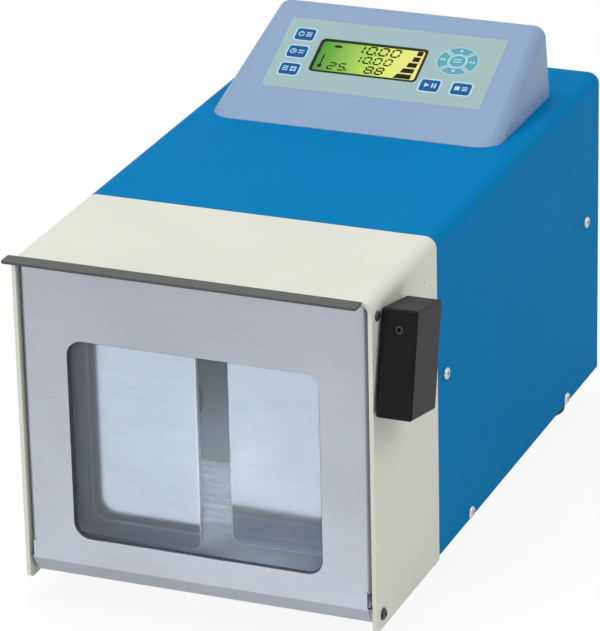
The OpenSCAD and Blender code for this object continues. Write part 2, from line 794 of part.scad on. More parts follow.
module motor_body() {
    color("#4A4F55") difference() {
        union() {
            bar_x(motor_d, motor_face_x - motor_len, motor_face_x, motor_y, motor_z);
            bar_x(motor_d - 8, motor_face_x - motor_len - 6, motor_face_x, motor_y, motor_z);
            bar_x(motor_shaft_d + 12, motor_face_x - 1, motor_face_x + bracket_t, motor_y, motor_z);
            // Terminal box
            box([motor_face_x - terminal_back - terminal[0], motor_y - terminal[1] / 2, motor_z],
                [motor_face_x - terminal_back, motor_y + terminal[1] / 2, motor_z + motor_d / 2 + terminal_h]);
        }
        bar_x(motor_shaft_d + 2 * run_gap, motor_face_x - 14, far, motor_y, motor_z);
        for (x = [motor_face_x - 30 : 6 : motor_face_x - 12]) difference() {
            bar_x(motor_d + 2, x, x + 3, motor_y, motor_z);
            bar_x(motor_d - 4, x - 1, x + 4, motor_y, motor_z);
        }
    }
}

module motor_shaft() {
    color("silver")
        bar_x(motor_shaft_d, motor_face_x - 13, crank_end_x, motor_y, motor_z);
}

module motor_pulley() {
    color("#6D7277") pulley(small_r, motor_shaft_d, motor_y, motor_z);
}

module power_supply() {
    x0 = board_side - in_hw;
    x1 = x0 + supply_w;
    y0 = body_d - supply_back - supply_d;
    color("#8FA08A") {
        box([x0, y0, sheet_t], [x1, y0 + supply_d, sheet_t + board_t]);
        // Transformer, capacitors and cooling plate
        box([x0 + 6, y0 + 8, sheet_t], [x1 - 18, y0 + 34, sheet_t + supply_h - 4]);
        for (y = [y0 + supply_d - 22, y0 + supply_d - 9])
            translate([x0 + 14, y, sheet_t]) cylinder(d = 11, h = supply_h - 8);
        box([x1 - 12, y0 + 6, sheet_t], [x1 - 9, y0 + supply_d - 6, sheet_t + supply_h]);
    }
}

module motor_driver() {
    x0 = board_side - in_hw;
    x1 = x0 + driver_w;
    y0 = crank_y + pedestal_w / 2 + driver_gap;
    color("#3E6B4F") {
        box([x0, y0, sheet_t], [x1, y0 + driver_d, sheet_t + board_t]);
        // Finned cooler and connector row
        for (i = [0 : fin_count - 1])
            box([x0 + 4, y0 + 6 + i * fin_pitch, sheet_t],
                [x1 - 24, y0 + 9 + i * fin_pitch, sheet_t + fin_h]);
        box([x0 + 4, y0 + 6, sheet_t],
            [x1 - 24, y0 + 9 + (fin_count - 1) * fin_pitch, sheet_t + fin_h - 16]);
        box([x1 - 16, y0 + 10, sheet_t], [x1 - 6, y0 + driver_d - 14, sheet_t + fin_h - 12]);
    }
}

// Solid form of the console, shrunk inwards by in
module console_form(in) {
    top = body_h + foot_lip - in * (1 - sin(slope_a)) / cos(slope_a);
    y1 = console_y0 + console_d;
    // Round corner that touches the slope and the side near the front
    corner_z = body_h + foot_lip + console_r * tan(slope_a) - slope_r / cos(slope_a);
    intersection() {
        hull() {
            for (x = [-1, 1]) {
                translate([x * (console_w / 2 - console_r), console_y0 + console_r, body_h - in])
                    cylinder(r = console_r - in, h = top - body_h + in);
                translate([x * (console_w / 2 - slope_r), console_y0 + console_r, corner_z])
                    sphere(slope_r - in, $fn = 32);
                translate([x * (console_w / 2 - ridge_r), y1 - ridge_r, body_h - in])
                    cylinder(r = ridge_r - in, h = top - body_h + in);
                translate([x * ridge_x[(x + 1) / 2], ridge_y, ridge_z]) sphere(ridge_r - in, $fn = 32);
            }
        }
        box([-console_w, console_y0 - 1, body_h - in], [console_w, y1 + 1, body_h + 2 * console_h]);
    }
}

module console_housing() {
    color("#93A9CC") difference() {
        union() {
            difference() {
                console_form(0);
                console_form(console_t);
            }
            // Screw bosses under the ridge and the front edge
            intersection() {
                console_form(eps);
                for (p = boss_places)
                    translate([p[0], p[1], body_h]) cylinder(d = boss_d2, h = console_h);
            }
        }
        for (p = boss_places)
            translate([p[0], p[1], body_h - 1]) cylinder(d = 3.5 + 2 * pin_gap, h = 6);
        on_slope() {
            translate([panel_x, panel_s + panel_h / 2, -panel_t]) linear_extrude(10)
                round_rect(panel_w + 2 * pin_gap, panel_h + 2 * pin_gap, 3);
            box([panel_x - panel_w / 2 + 3.3, panel_s + 3.3, -console_t - 2],
                [panel_x + panel_w / 2 - 3.3, panel_s + panel_h - 3.3, 0]);
        }
    }
}

// Outline of one sector of the oval pad, grown by grow on all sides
module pad_sector(a, grow) {
    gap = pad_gap / 2 - grow;
    ri = pad_in_r - grow;
    go = asin(gap / (pad_ry + grow));
    gi = asin(gap / ri);
    polygon(concat(
        [for (i = [0 : 10]) let (t = a - 45 + go + (90 - 2 * go) * i / 10)
            [(pad_rx + grow) * cos(t), (pad_ry + grow) * sin(t)]],
        [for (i = [0 : 10]) let (t = a + 45 - gi - (90 - 2 * gi) * i / 10)
            [ri * cos(t), ri * sin(t)]]
    ));
}

// Outline of a rectangular key, grown by grow on all sides
module key_outline(x, s, grow) {
    translate([x, s]) round_rect(key_w + 2 * grow, key_h + 2 * grow, 1.6 + grow);
}

// All key outlines together, for the overlay's holes
module key_holes(grow) {
    for (i = [0 : 2])
        key_outline(key_col_x, key_row_s + i * key_pitch, grow);
    key_outline(start_x, low_key_s, grow);
    key_outline(stop_x, low_key_s, grow);
    translate([pad_x, pad_s]) {
        for (a = [0, 90, 180, 270]) pad_sector(a, grow);
        circle(enter_r + grow);
    }
}

module keypad_overlay() {
    color("#A0B8BC") on_slope() translate([0, 0, -panel_t]) linear_extrude(panel_t) difference() {
        translate([panel_x, panel_s + panel_h / 2]) round_rect(panel_w, panel_h, 3);
        key_holes(move_gap);
        translate([lcd_x, lcd_s]) round_rect(lcd_w + 2 * fit_gap, lcd_h + 2 * fit_gap, 3);
    }
}

module lcd_module() {
    color("#A9CC4E") on_slope() difference() {
        translate([lcd_x, lcd_s, board_n]) linear_extrude(-board_n - 0.1)
            round_rect(lcd_w, lcd_h, 2.8);
        translate([lcd_x, lcd_s, -0.5]) linear_extrude(1) round_rect(lcd_w - 3.2, lcd_h - 3.2, 1.8);
    }
}

// Board behind the slope with a switch under every key
module control_board() {
    color("#2F6B4A") on_slope() {
        translate([panel_x, panel_s + panel_h / 2, board_n - 1.6]) linear_extrude(1.6)
            round_rect(panel_w - 1, panel_h - 1, 2);
        for (i = [0 : 2])
            dome(key_col_x, key_row_s + i * key_pitch);
        dome(start_x, low_key_s);
        dome(stop_x, low_key_s);
        dome(pad_x, pad_s);
        for (a = [0, 90, 180, 270])
            dome(pad_x + (pad_in_r + pad_rx) / 2 * cos(a), pad_s + (pad_in_r + pad_ry) / 2 * sin(a));
    }
}

module dome(x, s) {
    translate([x, s, board_n - eps]) cylinder(d = 3.4, h = switch_top_n - board_n + eps);
}

// One key: its pad through the overlay and the flange that holds it in
module key_body() {
    translate([0, 0, flange_bot_n]) linear_extrude(key_top_n - flange_bot_n) children(0);
    translate([0, 0, flange_bot_n]) linear_extrude(flange_top_n - flange_bot_n) children(1);
}

module flat_key(x, s, tint) {
    color(tint) on_slope() key_body() {
        key_outline(x, s, 0);
        key_outline(x, s, 0.6);
    }
}

module arrow_key(a) {
    color("#5FAAB2") on_slope() translate([pad_x, pad_s, 0]) key_body() {
        pad_sector(a, 0);
        pad_sector(a, 0.5);
    }
}

module key_upper() {
    flat_key(key_col_x, key_row_s + 2 * key_pitch, "#1E5F9A");
}

module key_middle() {
    flat_key(key_col_x, key_row_s + key_pitch, "#1E5F9A");
}

module key_lower() {
    flat_key(key_col_x, key_row_s, "#1E5F9A");
}

module key_start() {
    flat_key(start_x, low_key_s, "#1E5F9A");
}

module key_stop() {
    flat_key(stop_x, low_key_s, "#1E5F9A");
}

module arrow_right() {
    arrow_key(0);
}

module arrow_up() {
    arrow_key(90);
}

module arrow_left() {
    arrow_key(180);
}

module arrow_down() {
    arrow_key(270);
}

module key_enter() {
    color("#5FAAB2") on_slope() translate([pad_x, pad_s, 0]) key_body() {
        circle(enter_r);
        circle(enter_r + 0.5);
    }
}

module console_screws() {
    color("silver") for (p = boss_places)
        translate([p[0], p[1], body_h - sheet_t]) rotate([180, 0, 0]) pan_screw(6, 1.8, 3.5, 5);
}

module mains_inlet() {
    y0 = body_d - inlet_depth;
    color("#26282A") {
        difference() {
            union() {
                translate([-inlet_x, body_d + inlet_face, inlet_z]) rotate([90, 0, 0])
                    linear_extrude(inlet_face) round_rect(50, 25, 6);
                box([-inlet_x - inlet_body_w / 2, y0, inlet_z - inlet_body_h / 2],
                    [-inlet_x + inlet_body_w / 2, body_d + eps, inlet_z + inlet_body_h / 2]);
            }
            box([-inlet_x - 12, y0 + 4, inlet_z - 8], [-inlet_x + 12, body_d + 9, inlet_z + 8]);
            for (x = [-1, 1])
                bar_y(rear_shank_d + 2 * pin_gap, body_d - 9, body_d + 9,
                    x * inlet_hole_x - inlet_x, inlet_z);
        }
        // Three contact blades
        for (p = [[-7, -2], [0, 2], [7, -2]])
            box([-inlet_x + p[0] - 1, y0 - 6, inlet_z + p[1] - 2],
                [-inlet_x + p[0] + 1, y0 + 16, inlet_z + p[1] + 2]);
    }
}

module fuse_holder() {
    color("#26282A") difference() {
        union() {
            bar_y(fuse_d, body_d - 22, body_d + 1, fuse_x, inlet_z);
            bar_y(fuse_d + 2.4, body_d, body_d + fuse_cap, fuse_x, inlet_z);
            bar_y(fuse_d + 5, body_d - sheet_t - 3, body_d - sheet_t, fuse_x, inlet_z);
        }
        box([fuse_x - 4.5, body_d + fuse_cap - 1.5, inlet_z - 0.6],
            [fuse_x + 4.5, body_d + fuse_cap + 1, inlet_z + 0.6]);
    }
}

module switch_bezel() {
    room = rocker_r + move_gap;
    y0 = rocker_y - rocker_r + 4.5;
    color("#26282A") {
        difference() {
            union() {
                box([-inlet_x - bezel_body_w / 2 - 2.5, body_d, switch_z - bezel_body_h / 2 - 2.5],
                    [-inlet_x + bezel_body_w / 2 + 2.5, body_d + bezel_t,
                    switch_z + bezel_body_h / 2 + 2.5]);
                box([-inlet_x - bezel_body_w / 2, y0 - 2, switch_z - bezel_body_h / 2],
                    [-inlet_x + bezel_body_w / 2, body_d + eps, switch_z + bezel_body_h / 2]);
            }
            box([-inlet_x - rocker_w / 2 - move_gap, y0, switch_z - room],
                [-inlet_x + rocker_w / 2 + move_gap, body_d + 9, switch_z + room]);
            bar_x(rocker_pin + 2 * run_gap, -inlet_x - rocker_w / 2 - 1.5,
                -inlet_x + rocker_w / 2 + 1.5, rocker_y, switch_z);
        }
        for (z = [-8, 0, 8])
            box([-inlet_x - 3, y0 - 10, switch_z + z - 0.4], [-inlet_x + 3, y0 - 1, switch_z + z + 0.4]);
    }
}

// Rocker with its upper end pressed out, turned from its middle position
module power_rocker() {
    color("#1B1C1E") translate([-inlet_x, rocker_y, switch_z]) rotate([-10, 0, 0]) {
        along_x(-rocker_w / 2, rocker_w / 2) intersection() {
            circle(rocker_r);
            polygon([[-3, -rocker_r], [7.5, -rocker_r], [3.5, 0], [7.5, rocker_r], [-3, rocker_r]]);
        }
        bar_x(rocker_pin, -rocker_w / 2 - 1.2, rocker_w / 2 + 1.2, 0, 0);
    }
}

module casing_screws() {
    color("silver") {
        for (s = [-1, 1], p = side_screws)
            on_side(s, side_x, p[0], p[1])
                pan_screw(screw_head_d, screw_head_h, side_shank_d, side_shank);
        for (x = [-1, 1], z = tab_z)
            translate([x * (in_hw - tab_w / 2), body_d, z]) rotate([-90, 0, 0])
                pan_screw(6, 2, rear_shank_d, 5);
        for (x = [-1, 1])
            translate([x * inlet_hole_x - inlet_x, body_d + inlet_face, inlet_z]) rotate([-90, 0, 0])
                pan_screw(5.5, 1.8, rear_shank_d, 7);
    }
}

module hood_screws() {
    color("#202224") for (s = [-1, 1]) {
        on_side(s, side_x, hinge_y, hinge_z)
            button_screw(hinge_d + 1.4, head_h, hinge_d, side_x - door_in + 1.3);
        on_side(s, side_x, plug_y, plug_z) button_screw(6, head_h - 0.4, 4, hood_t);
    }
}

module latch_bushes() {
    color("#3A3D40") difference() {
        union() {
            bar_x(latch_bush_d, hood_hw, side_x + eps, latch_y, latch_z);
            bar_x(latch_bush_d + 6, side_x, side_x + bush_flange, latch_y, latch_z);
            bar_x(latch_bush_d, -side_x, -hood_hw + eps, latch_y, latch_z);
            bar_x(latch_bush_d + 6, -hood_hw, 2 - hood_hw, latch_y, latch_z);
        }
        bar_x(latch_d + 2 * run_gap, -far, far, latch_y, latch_z);
    }
}

module rubber_feet() {
    color("#1A1A1B") for (x = [-foot_x, foot_x], y = [foot_y0, foot_y1]) translate([x, y, 0]) {
        translate([0, 0, -foot_h]) rotate_extrude() {
            square([foot_d / 2 - 3, foot_h]);
            translate([0, 3]) square([foot_d / 2, foot_h - 3]);
            translate([foot_d / 2 - 3, 3]) circle(3);
        }
        translate([0, 0, -1]) cylinder(d = foot_stud_d, h = sheet_t + 1);
    }
}

// Plan of a sheet bent back at both sides, as a solid tray from its front at y0
module tray(hw, y0, y1, r) {
    translate([-hw, y0 + r]) square([2 * hw, y1 - y0 - r]);
    translate([r - hw, y0]) square([2 * (hw - r), y1 - y0]);
    for (s = [-1, 1])
        translate([s * (hw - r), y0 + r]) circle(r);
}

module door_panel() {
    r = edge_r - hood_t;
    tip_y = tuck_len * sin(tuck_a);
    tip_z = crease_z - tuck_len * cos(tuck_a);
    in_y = sheet_t * cos(tuck_a);
    in_z = sheet_t * sin(tuck_a);
    fold_z = crease_z + sheet_t * tan(tuck_a / 2);
    color("#BFC5CF") difference() {
        union() {
            intersection() {
                translate([0, 0, flange_z]) linear_extrude(door_top - flange_z) difference() {
                    tray(door_hw, 0, door_flange_d, door_bend_r);
                    tray(door_in, sheet_t, far, door_bend_r - sheet_t);
                }
                along_y(-1, far) arch(door_hw, 0, door_top, r);
            }
            box([-door_in + 0.3, 0, crease_z], [door_in - 0.3, sheet_t, flange_z + 1]);
            // Tucked lower edge and the hinge ears at its ends
            along_x(-door_in - 0.2, door_in + 0.2) polygon([[0, crease_z], [tip_y, tip_z],
                [tip_y + in_y, tip_z + in_z], [sheet_t, fold_z], [sheet_t, crease_z + 1],
                [0, crease_z + 1]]);
            for (s = [0, 1]) mirror([s, 0, 0]) along_x(door_in, door_hw)
                polygon([[1, crease_z + 0.5], [tip_y - 0.2, tip_z + 0.45],
                    [hinge_y + 3.5, hinge_z - 4.6], [hinge_y + 5.2, crease_z + 0.5]]);
            // Top lip, level with the hood's roof in front of its edge
            translate([(lip_x0 + lip_x1) / 2, -(lip_d + move_gap) / 2, body_h - sheet_t])
                linear_extrude(sheet_t) round_rect(lip_x1 - lip_x0, lip_d - move_gap, 1.5);
            box([-door_hw + r, -move_gap - sheet_t, door_top - sheet_t],
                [lip_x1 - r, -move_gap, body_h - eps]);
            box([-door_hw + r, -move_gap - sheet_t, door_top - sheet_t],
                [lip_x1 - r, sheet_t, door_top]);
            box([-door_hw + r, -move_gap - eps, door_top - sheet_t],
                [door_hw - r, sheet_t, door_top]);
        }
        translate([0, 0, window_mid_z]) along_y(-1, 3) round_rect(window_w, window_h, window_r);
        bar_x(hinge_d + 2 * run_gap, -far, far, hinge_y, hinge_z);
        bar_x(catch_d + 2 * pin_gap, -far, far, catch_y, catch_z);
    }
}

module catch_pins() {
    color("silver") for (s = [0, 1]) mirror([s, 0, 0]) {
        bar_x(catch_d, liner_hw + 1.2, door_hw, catch_y, catch_z);
        bar_x(catch_d + 3, door_in - 1.2, door_in, catch_y, catch_z);
    }
}

module door_glass() {
    color("#DDE8EA") translate([0, 0, window_mid_z]) along_y(pane_y0, pane_y1)
        round_rect(pane_w, pane_h, window_r);
}

module door_gasket() {
    color("#3A3F45") translate([0, 0, window_mid_z]) along_y(sheet_t, pane_y0) difference() {
        round_rect(pane_w, pane_h, window_r);
        round_rect(window_w - 1.8, window_h - 1.8, window_r - 0.9);
    }
}

module glass_retainer() {
    color("#8E959C") translate([0, 0, window_mid_z]) difference() {
        along_y(sheet_t, pane_y1 + sheet_t) round_rect(pane_w + 8, pane_h + 8, window_r + 4);
        along_y(0, pane_y1)
            round_rect(pane_w + 2 * fit_gap, pane_h + 2 * fit_gap, window_r + fit_gap);
        along_y(0, far) round_rect(window_w + 5, window_h + 5, window_r);
    }
}

// Puts what is drawn with the latch locked into its released rest position
module released() {
    translate([0, latch_y, latch_z]) rotate([-latch_tilt, 0, 0]) children();
}

module latch_shaft() {
    color("silver") bar_x(latch_d, 1 - side_x, handle_x0 + handle_w - 2, latch_y, latch_z);
}

module latch_hooks() {
    arm_low = catch_d / 2 + move_gap - catch_drop;
    nose_in = -catch_fore - catch_d / 2 - move_gap;
    nose_out = nose_in - nose_t;
    nose_low = catch_d / 2 - catch_drop - hook_bite;
    color("silver") for (s = [0, 1]) mirror([s, 0, 0]) released() difference() {
        union() {
            along_x(hook_x, hook_x + hook_t) polygon([[0, 7.9], [nose_out + 1.5, -0.9],
                [nose_out, -2.4], [nose_out, nose_low], [nose_in, nose_low], [nose_in, arm_low],
                [0, arm_low]]);
            bar_x(16, hook_x, hub_end, 0, 0);
        }
        bar_x(latch_d + 2 * pin_gap, 0, far, 0, 0);
    }
}

// Rectangle with bevelled corners
module bevelled(w, h, b) {
    polygon([[-w / 2 + b, -h / 2], [w / 2 - b, -h / 2], [w / 2, -h / 2 + b], [w / 2, h / 2 - b],
        [w / 2 - b, h / 2], [-w / 2 + b, h / 2], [-w / 2, h / 2 - b], [-w / 2, -h / 2 + b]]);
}

module handle_block() {
    mid_x = handle_x0 + handle_w / 2;
    mid_z = handle_top - handle_len / 2;
    color("#2A2E31") released() difference() {
        intersection() {
            along_x(handle_x0, handle_x0 + handle_w) translate([0, mid_z])
                bevelled(handle_d, handle_len, handle_bevel);
            along_y(-handle_d / 2, handle_d / 2) translate([mid_x, mid_z])
                bevelled(handle_w, handle_len, handle_bevel);
            translate([mid_x, 0, mid_z - handle_len / 2]) linear_extrude(handle_len)
                bevelled(handle_w, handle_d, handle_bevel);
        }
        bar_x(latch_d + 2 * pin_gap, 0, handle_x0 + handle_w - 2, 0, 0);
        bar_y(set_d + 2 * pin_gap, -far, 0, mid_x, 0);
    }
}

module handle_set_screw() {
    mid_x = handle_x0 + handle_w / 2;
    color("#1C1E20") released() difference() {
        bar_y(set_d, 1 - handle_d / 2, -latch_d / 2, mid_x, 0);
        translate([mid_x, 1 - handle_d / 2, 0]) rotate([90, 0, 0])
            cylinder(d = 2.9, h = 6, center = true, $fn = 6);
    }
}

// Paddle on one side (-1 left, 1 right) with its face at y
module paddle(side, y) {
    difference() {
        union() {
            translate([side * (paddle_gap + paddle_w) / 2, 0, paddle_z + paddle_h / 2])
                along_y(y, y + paddle_t) round_rect(paddle_w, paddle_h, paddle_r);
            bar_y(hub_d, y + paddle_t, y + paddle_t + hub_len, side * rod_x, rod_z);
        }
        bar_y(rod_d + 2 * pin_gap, y + paddle_t, y + far, side * rod_x, rod_z);
    }
}

// Rod from the back of a paddle plate to the front of its yoke
module push_rod(side, y) {
    bar_y(rod_d, y + paddle_t, yoke_front(side), side * rod_x, rod_z);
}

// Yoke around the ring of one eccentric, with the socket of its push rod
module yoke(side) {
    y = crank_y + side * crank_e;
    difference() {
        union() {
            translate([side * rod_x, y, rod_z]) cube([ecc_w, yoke_y, yoke_z], center = true);
            bar_y(rod_d + 8, y - yoke_y / 2 - 6, y - yoke_y / 2, side * rod_x, rod_z);
        }
        translate([side * rod_x, y, rod_z]) cube([2 * ecc_w, yoke_in_y, yoke_in_z], center = true);
        bar_y(rod_d + 2 * pin_gap, 0, y - yoke_y / 2, side * rod_x, rod_z);
    }
}

function yoke_front(side) = crank_y + side * crank_e - yoke_y / 2;

module left_paddle() {
    color("#B4BECC") paddle(-1, paddle_y);
}

module right_paddle() {
    color("#B4BECC") paddle(1, paddle_y + stroke);
}

module left_push_rod() {
    color("silver") push_rod(-1, paddle_y);
}

module right_push_rod() {
    color("silver") push_rod(1, paddle_y + stroke);
}

module left_yoke() {
    color("#9AA0A6") yoke(-1);
}

module right_yoke() {
    color("#9AA0A6") yoke(1);
}

in_place() base_plate();
in_place() front_hood();
in_place() rear_casing();
in_place() rear_panel();
in_place() front_fascia();
in_place() chamber_liner();
in_place() rod_seals();
in_place() bush_housing();
in_place() rod_bushes();
in_place() crank_pedestals();
in_place() crank_bearings();
in_place() motor_bracket();
in_place() motor_body();
in_place() drive_belt();
in_place() power_supply();
in_place() motor_driver();
in_place() console_housing();
in_place() keypad_overlay();
in_place() lcd_module();
in_place() control_board();
in_place() mains_inlet();
in_place() fuse_holder();
in_place() switch_bezel();
in_place() casing_screws();
in_place() hood_screws();
in_place() console_screws();
in_place() latch_bushes();
in_place() rubber_feet();
in_place() door_panel();
in_place() door_glass();
in_place() door_gasket();
in_place() glass_retainer();
in_place() catch_pins();
in_place() latch_shaft();
in_place() latch_hooks();
in_place() handle_block();
in_place() handle_set_screw();
in_place() crankshaft();
in_place() eccentric_rings();
in_place() crank_pulley();
in_place() left_paddle();
in_place() left_push_rod();
in_place() left_yoke();
in_place() right_paddle();
in_place() right_push_rod();
in_place() right_yoke();
in_place() motor_shaft();
in_place() motor_pulley();
in_place() power_rocker();
in_place() key_upper();
in_place() key_middle();
in_place() key_lower();
in_place() key_start();
in_place() key_stop();
in_place() arrow_up();
in_place() arrow_down();
in_place() arrow_left();
in_place() arrow_right();
in_place() key_enter();
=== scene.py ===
"""Models and finishes the pieces of a bench-top paddle blender.

The covers, the glazed door, the paddles in their chamber, the latch and the console with its keypad are
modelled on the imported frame. Lengths are in metres, in the frame's own axes, unless a comment says mm.
"""
import json
import math

import bpy
from bpy.props import FloatProperty, FloatVectorProperty, PointerProperty
from bpy.types import Operator, Panel, PropertyGroup
from mathutils import Matrix, Vector


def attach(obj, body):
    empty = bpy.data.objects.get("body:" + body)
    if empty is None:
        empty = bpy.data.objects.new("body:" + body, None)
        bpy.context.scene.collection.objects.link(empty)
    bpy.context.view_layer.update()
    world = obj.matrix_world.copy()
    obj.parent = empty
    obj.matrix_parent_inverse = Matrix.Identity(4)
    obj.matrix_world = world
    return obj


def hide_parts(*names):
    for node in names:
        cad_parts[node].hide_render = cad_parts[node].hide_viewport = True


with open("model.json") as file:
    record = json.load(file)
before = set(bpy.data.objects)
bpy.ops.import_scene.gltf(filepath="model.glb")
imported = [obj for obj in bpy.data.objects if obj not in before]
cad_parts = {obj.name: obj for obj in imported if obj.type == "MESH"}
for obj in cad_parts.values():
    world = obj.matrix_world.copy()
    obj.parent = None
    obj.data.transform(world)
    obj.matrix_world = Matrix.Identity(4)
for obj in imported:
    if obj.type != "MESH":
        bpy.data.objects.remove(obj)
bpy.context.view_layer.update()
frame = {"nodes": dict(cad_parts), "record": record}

bl_info = {
    "name": "Paddle blender",
    "version": (1, 0, 0),
    "blender": (4, 5, 0),
    "location": "3D View > Sidebar > Paddle blender",
    "description": "Models and finishes the pieces of a bench-top paddle blender",
    "category": "Object",
}

MM = 0.001
NODES = frame["nodes"]
RECORD = frame["record"]
BODY_OF = {n: body for body, nodes in RECORD["behaviour"]["bodies"].items() for n in nodes}
SLOT_OF = {part["node"]: part["material_slot"] for part in RECORD["subparts"]}

# Foot of the door plane at the middle of the machine
DOOR_FOOT = Vector((-10.4, -198.25, 16.0)) * MM
# How far the lip reaches down from the door's top, and the tucked edge up from its foot
LIP_HEIGHT = 3.2 * MM
TUCK_HEIGHT = 12.0 * MM
# Top of the ribs above the door's foot, and how far they stand out from the chamber's rear wall
RIBS_TOP = 62.0 * MM
RIBS_DEPTH = 12.0 * MM
# Faces that look forward and lie further than this before the rear wall are the chamber's rim
RIM_DISTANCE = 30.0 * MM

# The console's slope: X to the right, Y up the slope from its front line, Z straight out of it
SLOPE_ANGLE = math.radians(25.311)
SLOPE_FOOT = DOOR_FOOT + Vector((0.0, 248.0, 202.5)) * MM
SLOPE = Matrix.Translation(SLOPE_FOOT) @ Matrix.Rotation(SLOPE_ANGLE, 4, "X")
SLOPE_NORMAL = (SLOPE.to_3x3() @ Vector((0, 0, 1))).normalized()
# Middle and size of the keypad film, and the ends of the lit screen along X
FILM_MIDDLE = SLOPE @ (Vector((2.0, 62.0, 0.0)) * MM)
FILM_SIZE = (145.6 * MM, 63.6 * MM)
SCREEN_ENDS = (-53.0 * MM, 14.5 * MM)
# Middles of the keys on the slope, in mm: column and rows at the left, start and stop, arrow pad
LEFT_KEYS = -56.5
LEFT_KEY_ROWS = (47.5, 63.0, 78.5)
START_KEY, STOP_KEY, LOW_ROW = 36.8, 57.3, 46.6
PAD = (47.5, 69.9)
# Levels above the film, in mm: the keys' tops and the sunken screen
KEY_TOP = 0.35
SCREEN_LEVEL = -0.5
# Width of the short printed lines on the keys, and the gap between a key and the line round it, in mm
MARK_WIDTH = 0.7
LINE_GAP = 0.08

# Pan screw, in mm
HEAD_WIDTH, HEAD_HEIGHT, HEAD_ROUNDING = 7.5, 2.2, 1.5
SHANK_WIDTH, SHANK_LENGTH, SHANK_CHAMFER = 3.5, 5.2, 0.4
CROSS_LENGTH, CROSS_WIDTH, CROSS_DEPTH = 3.9, 0.9, 1.0
# Turn in radians from one screw's cross to the next, as screws that were driven by hand
CROSS_TURN = 0.7

# Streaks of the belt-ground door along each axis, in mm: long across the machine, narrow up and down
LONG_STREAKS = (142.86, 1.1111, 1.1111)

# Seven-segment digits: the bars of each sign, the slant, and the shares of a bar's width that its
# pointed ends and the gaps between bars take
SEGMENTS = {"0": "abcdef", "1": "bc", "2": "abged", "3": "abgcd", "4": "fgbc", "5": "afgcd",
            "6": "afgedc", "7": "abc", "8": "abcdefg", "9": "abcdfg"}
SLANT = math.tan(math.radians(9.0))
BAR_POINT, BAR_GAP = 0.45, 0.4
# Rows of digits on the screen, in mm: left, foot, height, width, pitch, share of the stroke
DIGIT_ROWS = (
    ("10.00", -20.4, 67.9, 6.3, 5.0, 8.0, 1.0),
    ("10.00", -19.1, 59.9, 5.3, 4.2, 6.9, 0.9),
    ("8.8", -8.6, 51.6, 5.6, 4.4, 6.9, 0.95),
    ("25", -33.4, 51.7, 5.6, 4.4, 6.8, 0.8),
)
# Stepped scale, in mm: left edge and lean of each block from the lowest up; foot, rise and height
SCALE_BLOCKS = ((11.0, 2.0), (14.0, 1.2), (16.6, 0.6), (18.6, 0.4), (20.0, 0.2))
SCALE_RIGHT, SCALE_DRIFT = 22.3, 0.35
SCALE_FOOT, SCALE_RISE, SCALE_BLOCK = 50.3, 5.2, 3.9

# Camera: place, azimuth, elevation and roll in degrees, focal length in pixels of the picture
CAMERA_PLACE = (0.87884, -2.18565, 1.10624)
CAMERA_ANGLES = (22.47, 22.74, -1.33)
CAMERA_FOCAL = 4200.0
PICTURE_HEIGHT = 631.0
SENSOR = 36.0
# Floor: grey of its paint, share that is seen as white instead, and the strength of that white
FLOOR_PAINT, FLOOR_SHARE, FLOOR_WHITE = 0.85, 0.86, 1.03
# Strength of the light from all round
ROOM_LIGHT = 0.52
# Lamps: name, place, width, watts, point aimed at, beam in degrees
MIDDLE = (0.0, 0.0, 0.12)
LAMPS = (
    ("top softbox", (-0.5, 0.2, 2.2), 1.5, 14.0, MIDDLE, 180.0),
    ("front softbox", (-0.9, -2.0, 1.2), 1.2, 14.0, MIDDLE, 180.0),
    ("right softbox", (1.5, -0.3, 1.7), 0.9, 8.0, MIDDLE, 180.0),
    ("gridded lamp on the ribs", (0.87, -2.18, 1.12), 0.06, 0.016, (-0.012, -0.13, 0.052), 3.0),
)

BLUE_KEYS = ("key_upper", "key_middle", "key_lower", "key_start", "key_stop")
ARROW_KEYS = ("arrow_up", "arrow_down", "arrow_left", "arrow_right", "key_enter")


def linear(code):
    """Linear colour of an sRGB hex code."""
    parts = [int(code[i:i + 2], 16) / 255 for i in (1, 3, 5)]
    return tuple(c / 12.92 if c <= 0.04045 else ((c + 0.055) / 1.055) ** 2.4 for c in parts)


def colour_setting(label, note, code):
    """A colour that the user can change, from its sRGB hex code."""
    return FloatVectorProperty(
        name=label, description=note, subtype="COLOR", size=3, min=0.0, max=1.0, default=linear(code))


def length_setting(label, note, mm, least=0.0):
    """A length that the user can change, from its value in mm."""
    return FloatProperty(name=label, description=note, unit="LENGTH", min=least * MM, default=mm * MM)


class PaddleBlenderColours(PropertyGroup):
    """Colours of the visible finishes."""
    hood: colour_setting("Hood", "Powder coat of the front hood", "#E4E5D9")
    casing: colour_setting("Casing", "Powder coat of the rear casing", "#007FBC")
    door: colour_setting("Door", "Ground stainless sheet of the door", "#C3C9D2")
    # The lip's colour is a painted dark reflection
    lip: colour_setting("Lip", "Stainless of the door's top lip with a painted dark reflection", "#585B58")
    paddle: colour_setting("Paddles", "Polished stainless of the paddles", "#C8D5E6")
    chamber: colour_setting("Chamber", "Satin stainless of the sample chamber", "#829FBA")
    handle: colour_setting("Handle", "Moulded nylon of the latch handle", "#0B0F11")
    console: colour_setting("Console", "Moulded ABS of the console", "#86A0C1")
    film_middle: colour_setting("Film middle", "Keypad film round the display", "#9FBABD")
    film_end: colour_setting("Film ends", "Keypad film at its ends", "#A0BBBA")
    keys: colour_setting("Keys", "Ink of the rectangular keys", "#0F548E")
    pad: colour_setting("Arrow pad", "Ink of the arrow keys", "#5AA5AF")
    print_line: colour_setting("Printed lines", "Pale ink round the keys and on them", "#B4DCF2")
    screen_left: colour_setting("Screen left", "Lit display at its left end", "#459430")
    screen_right: colour_setting("Screen right", "Lit display at its right end", "#EAE67E")


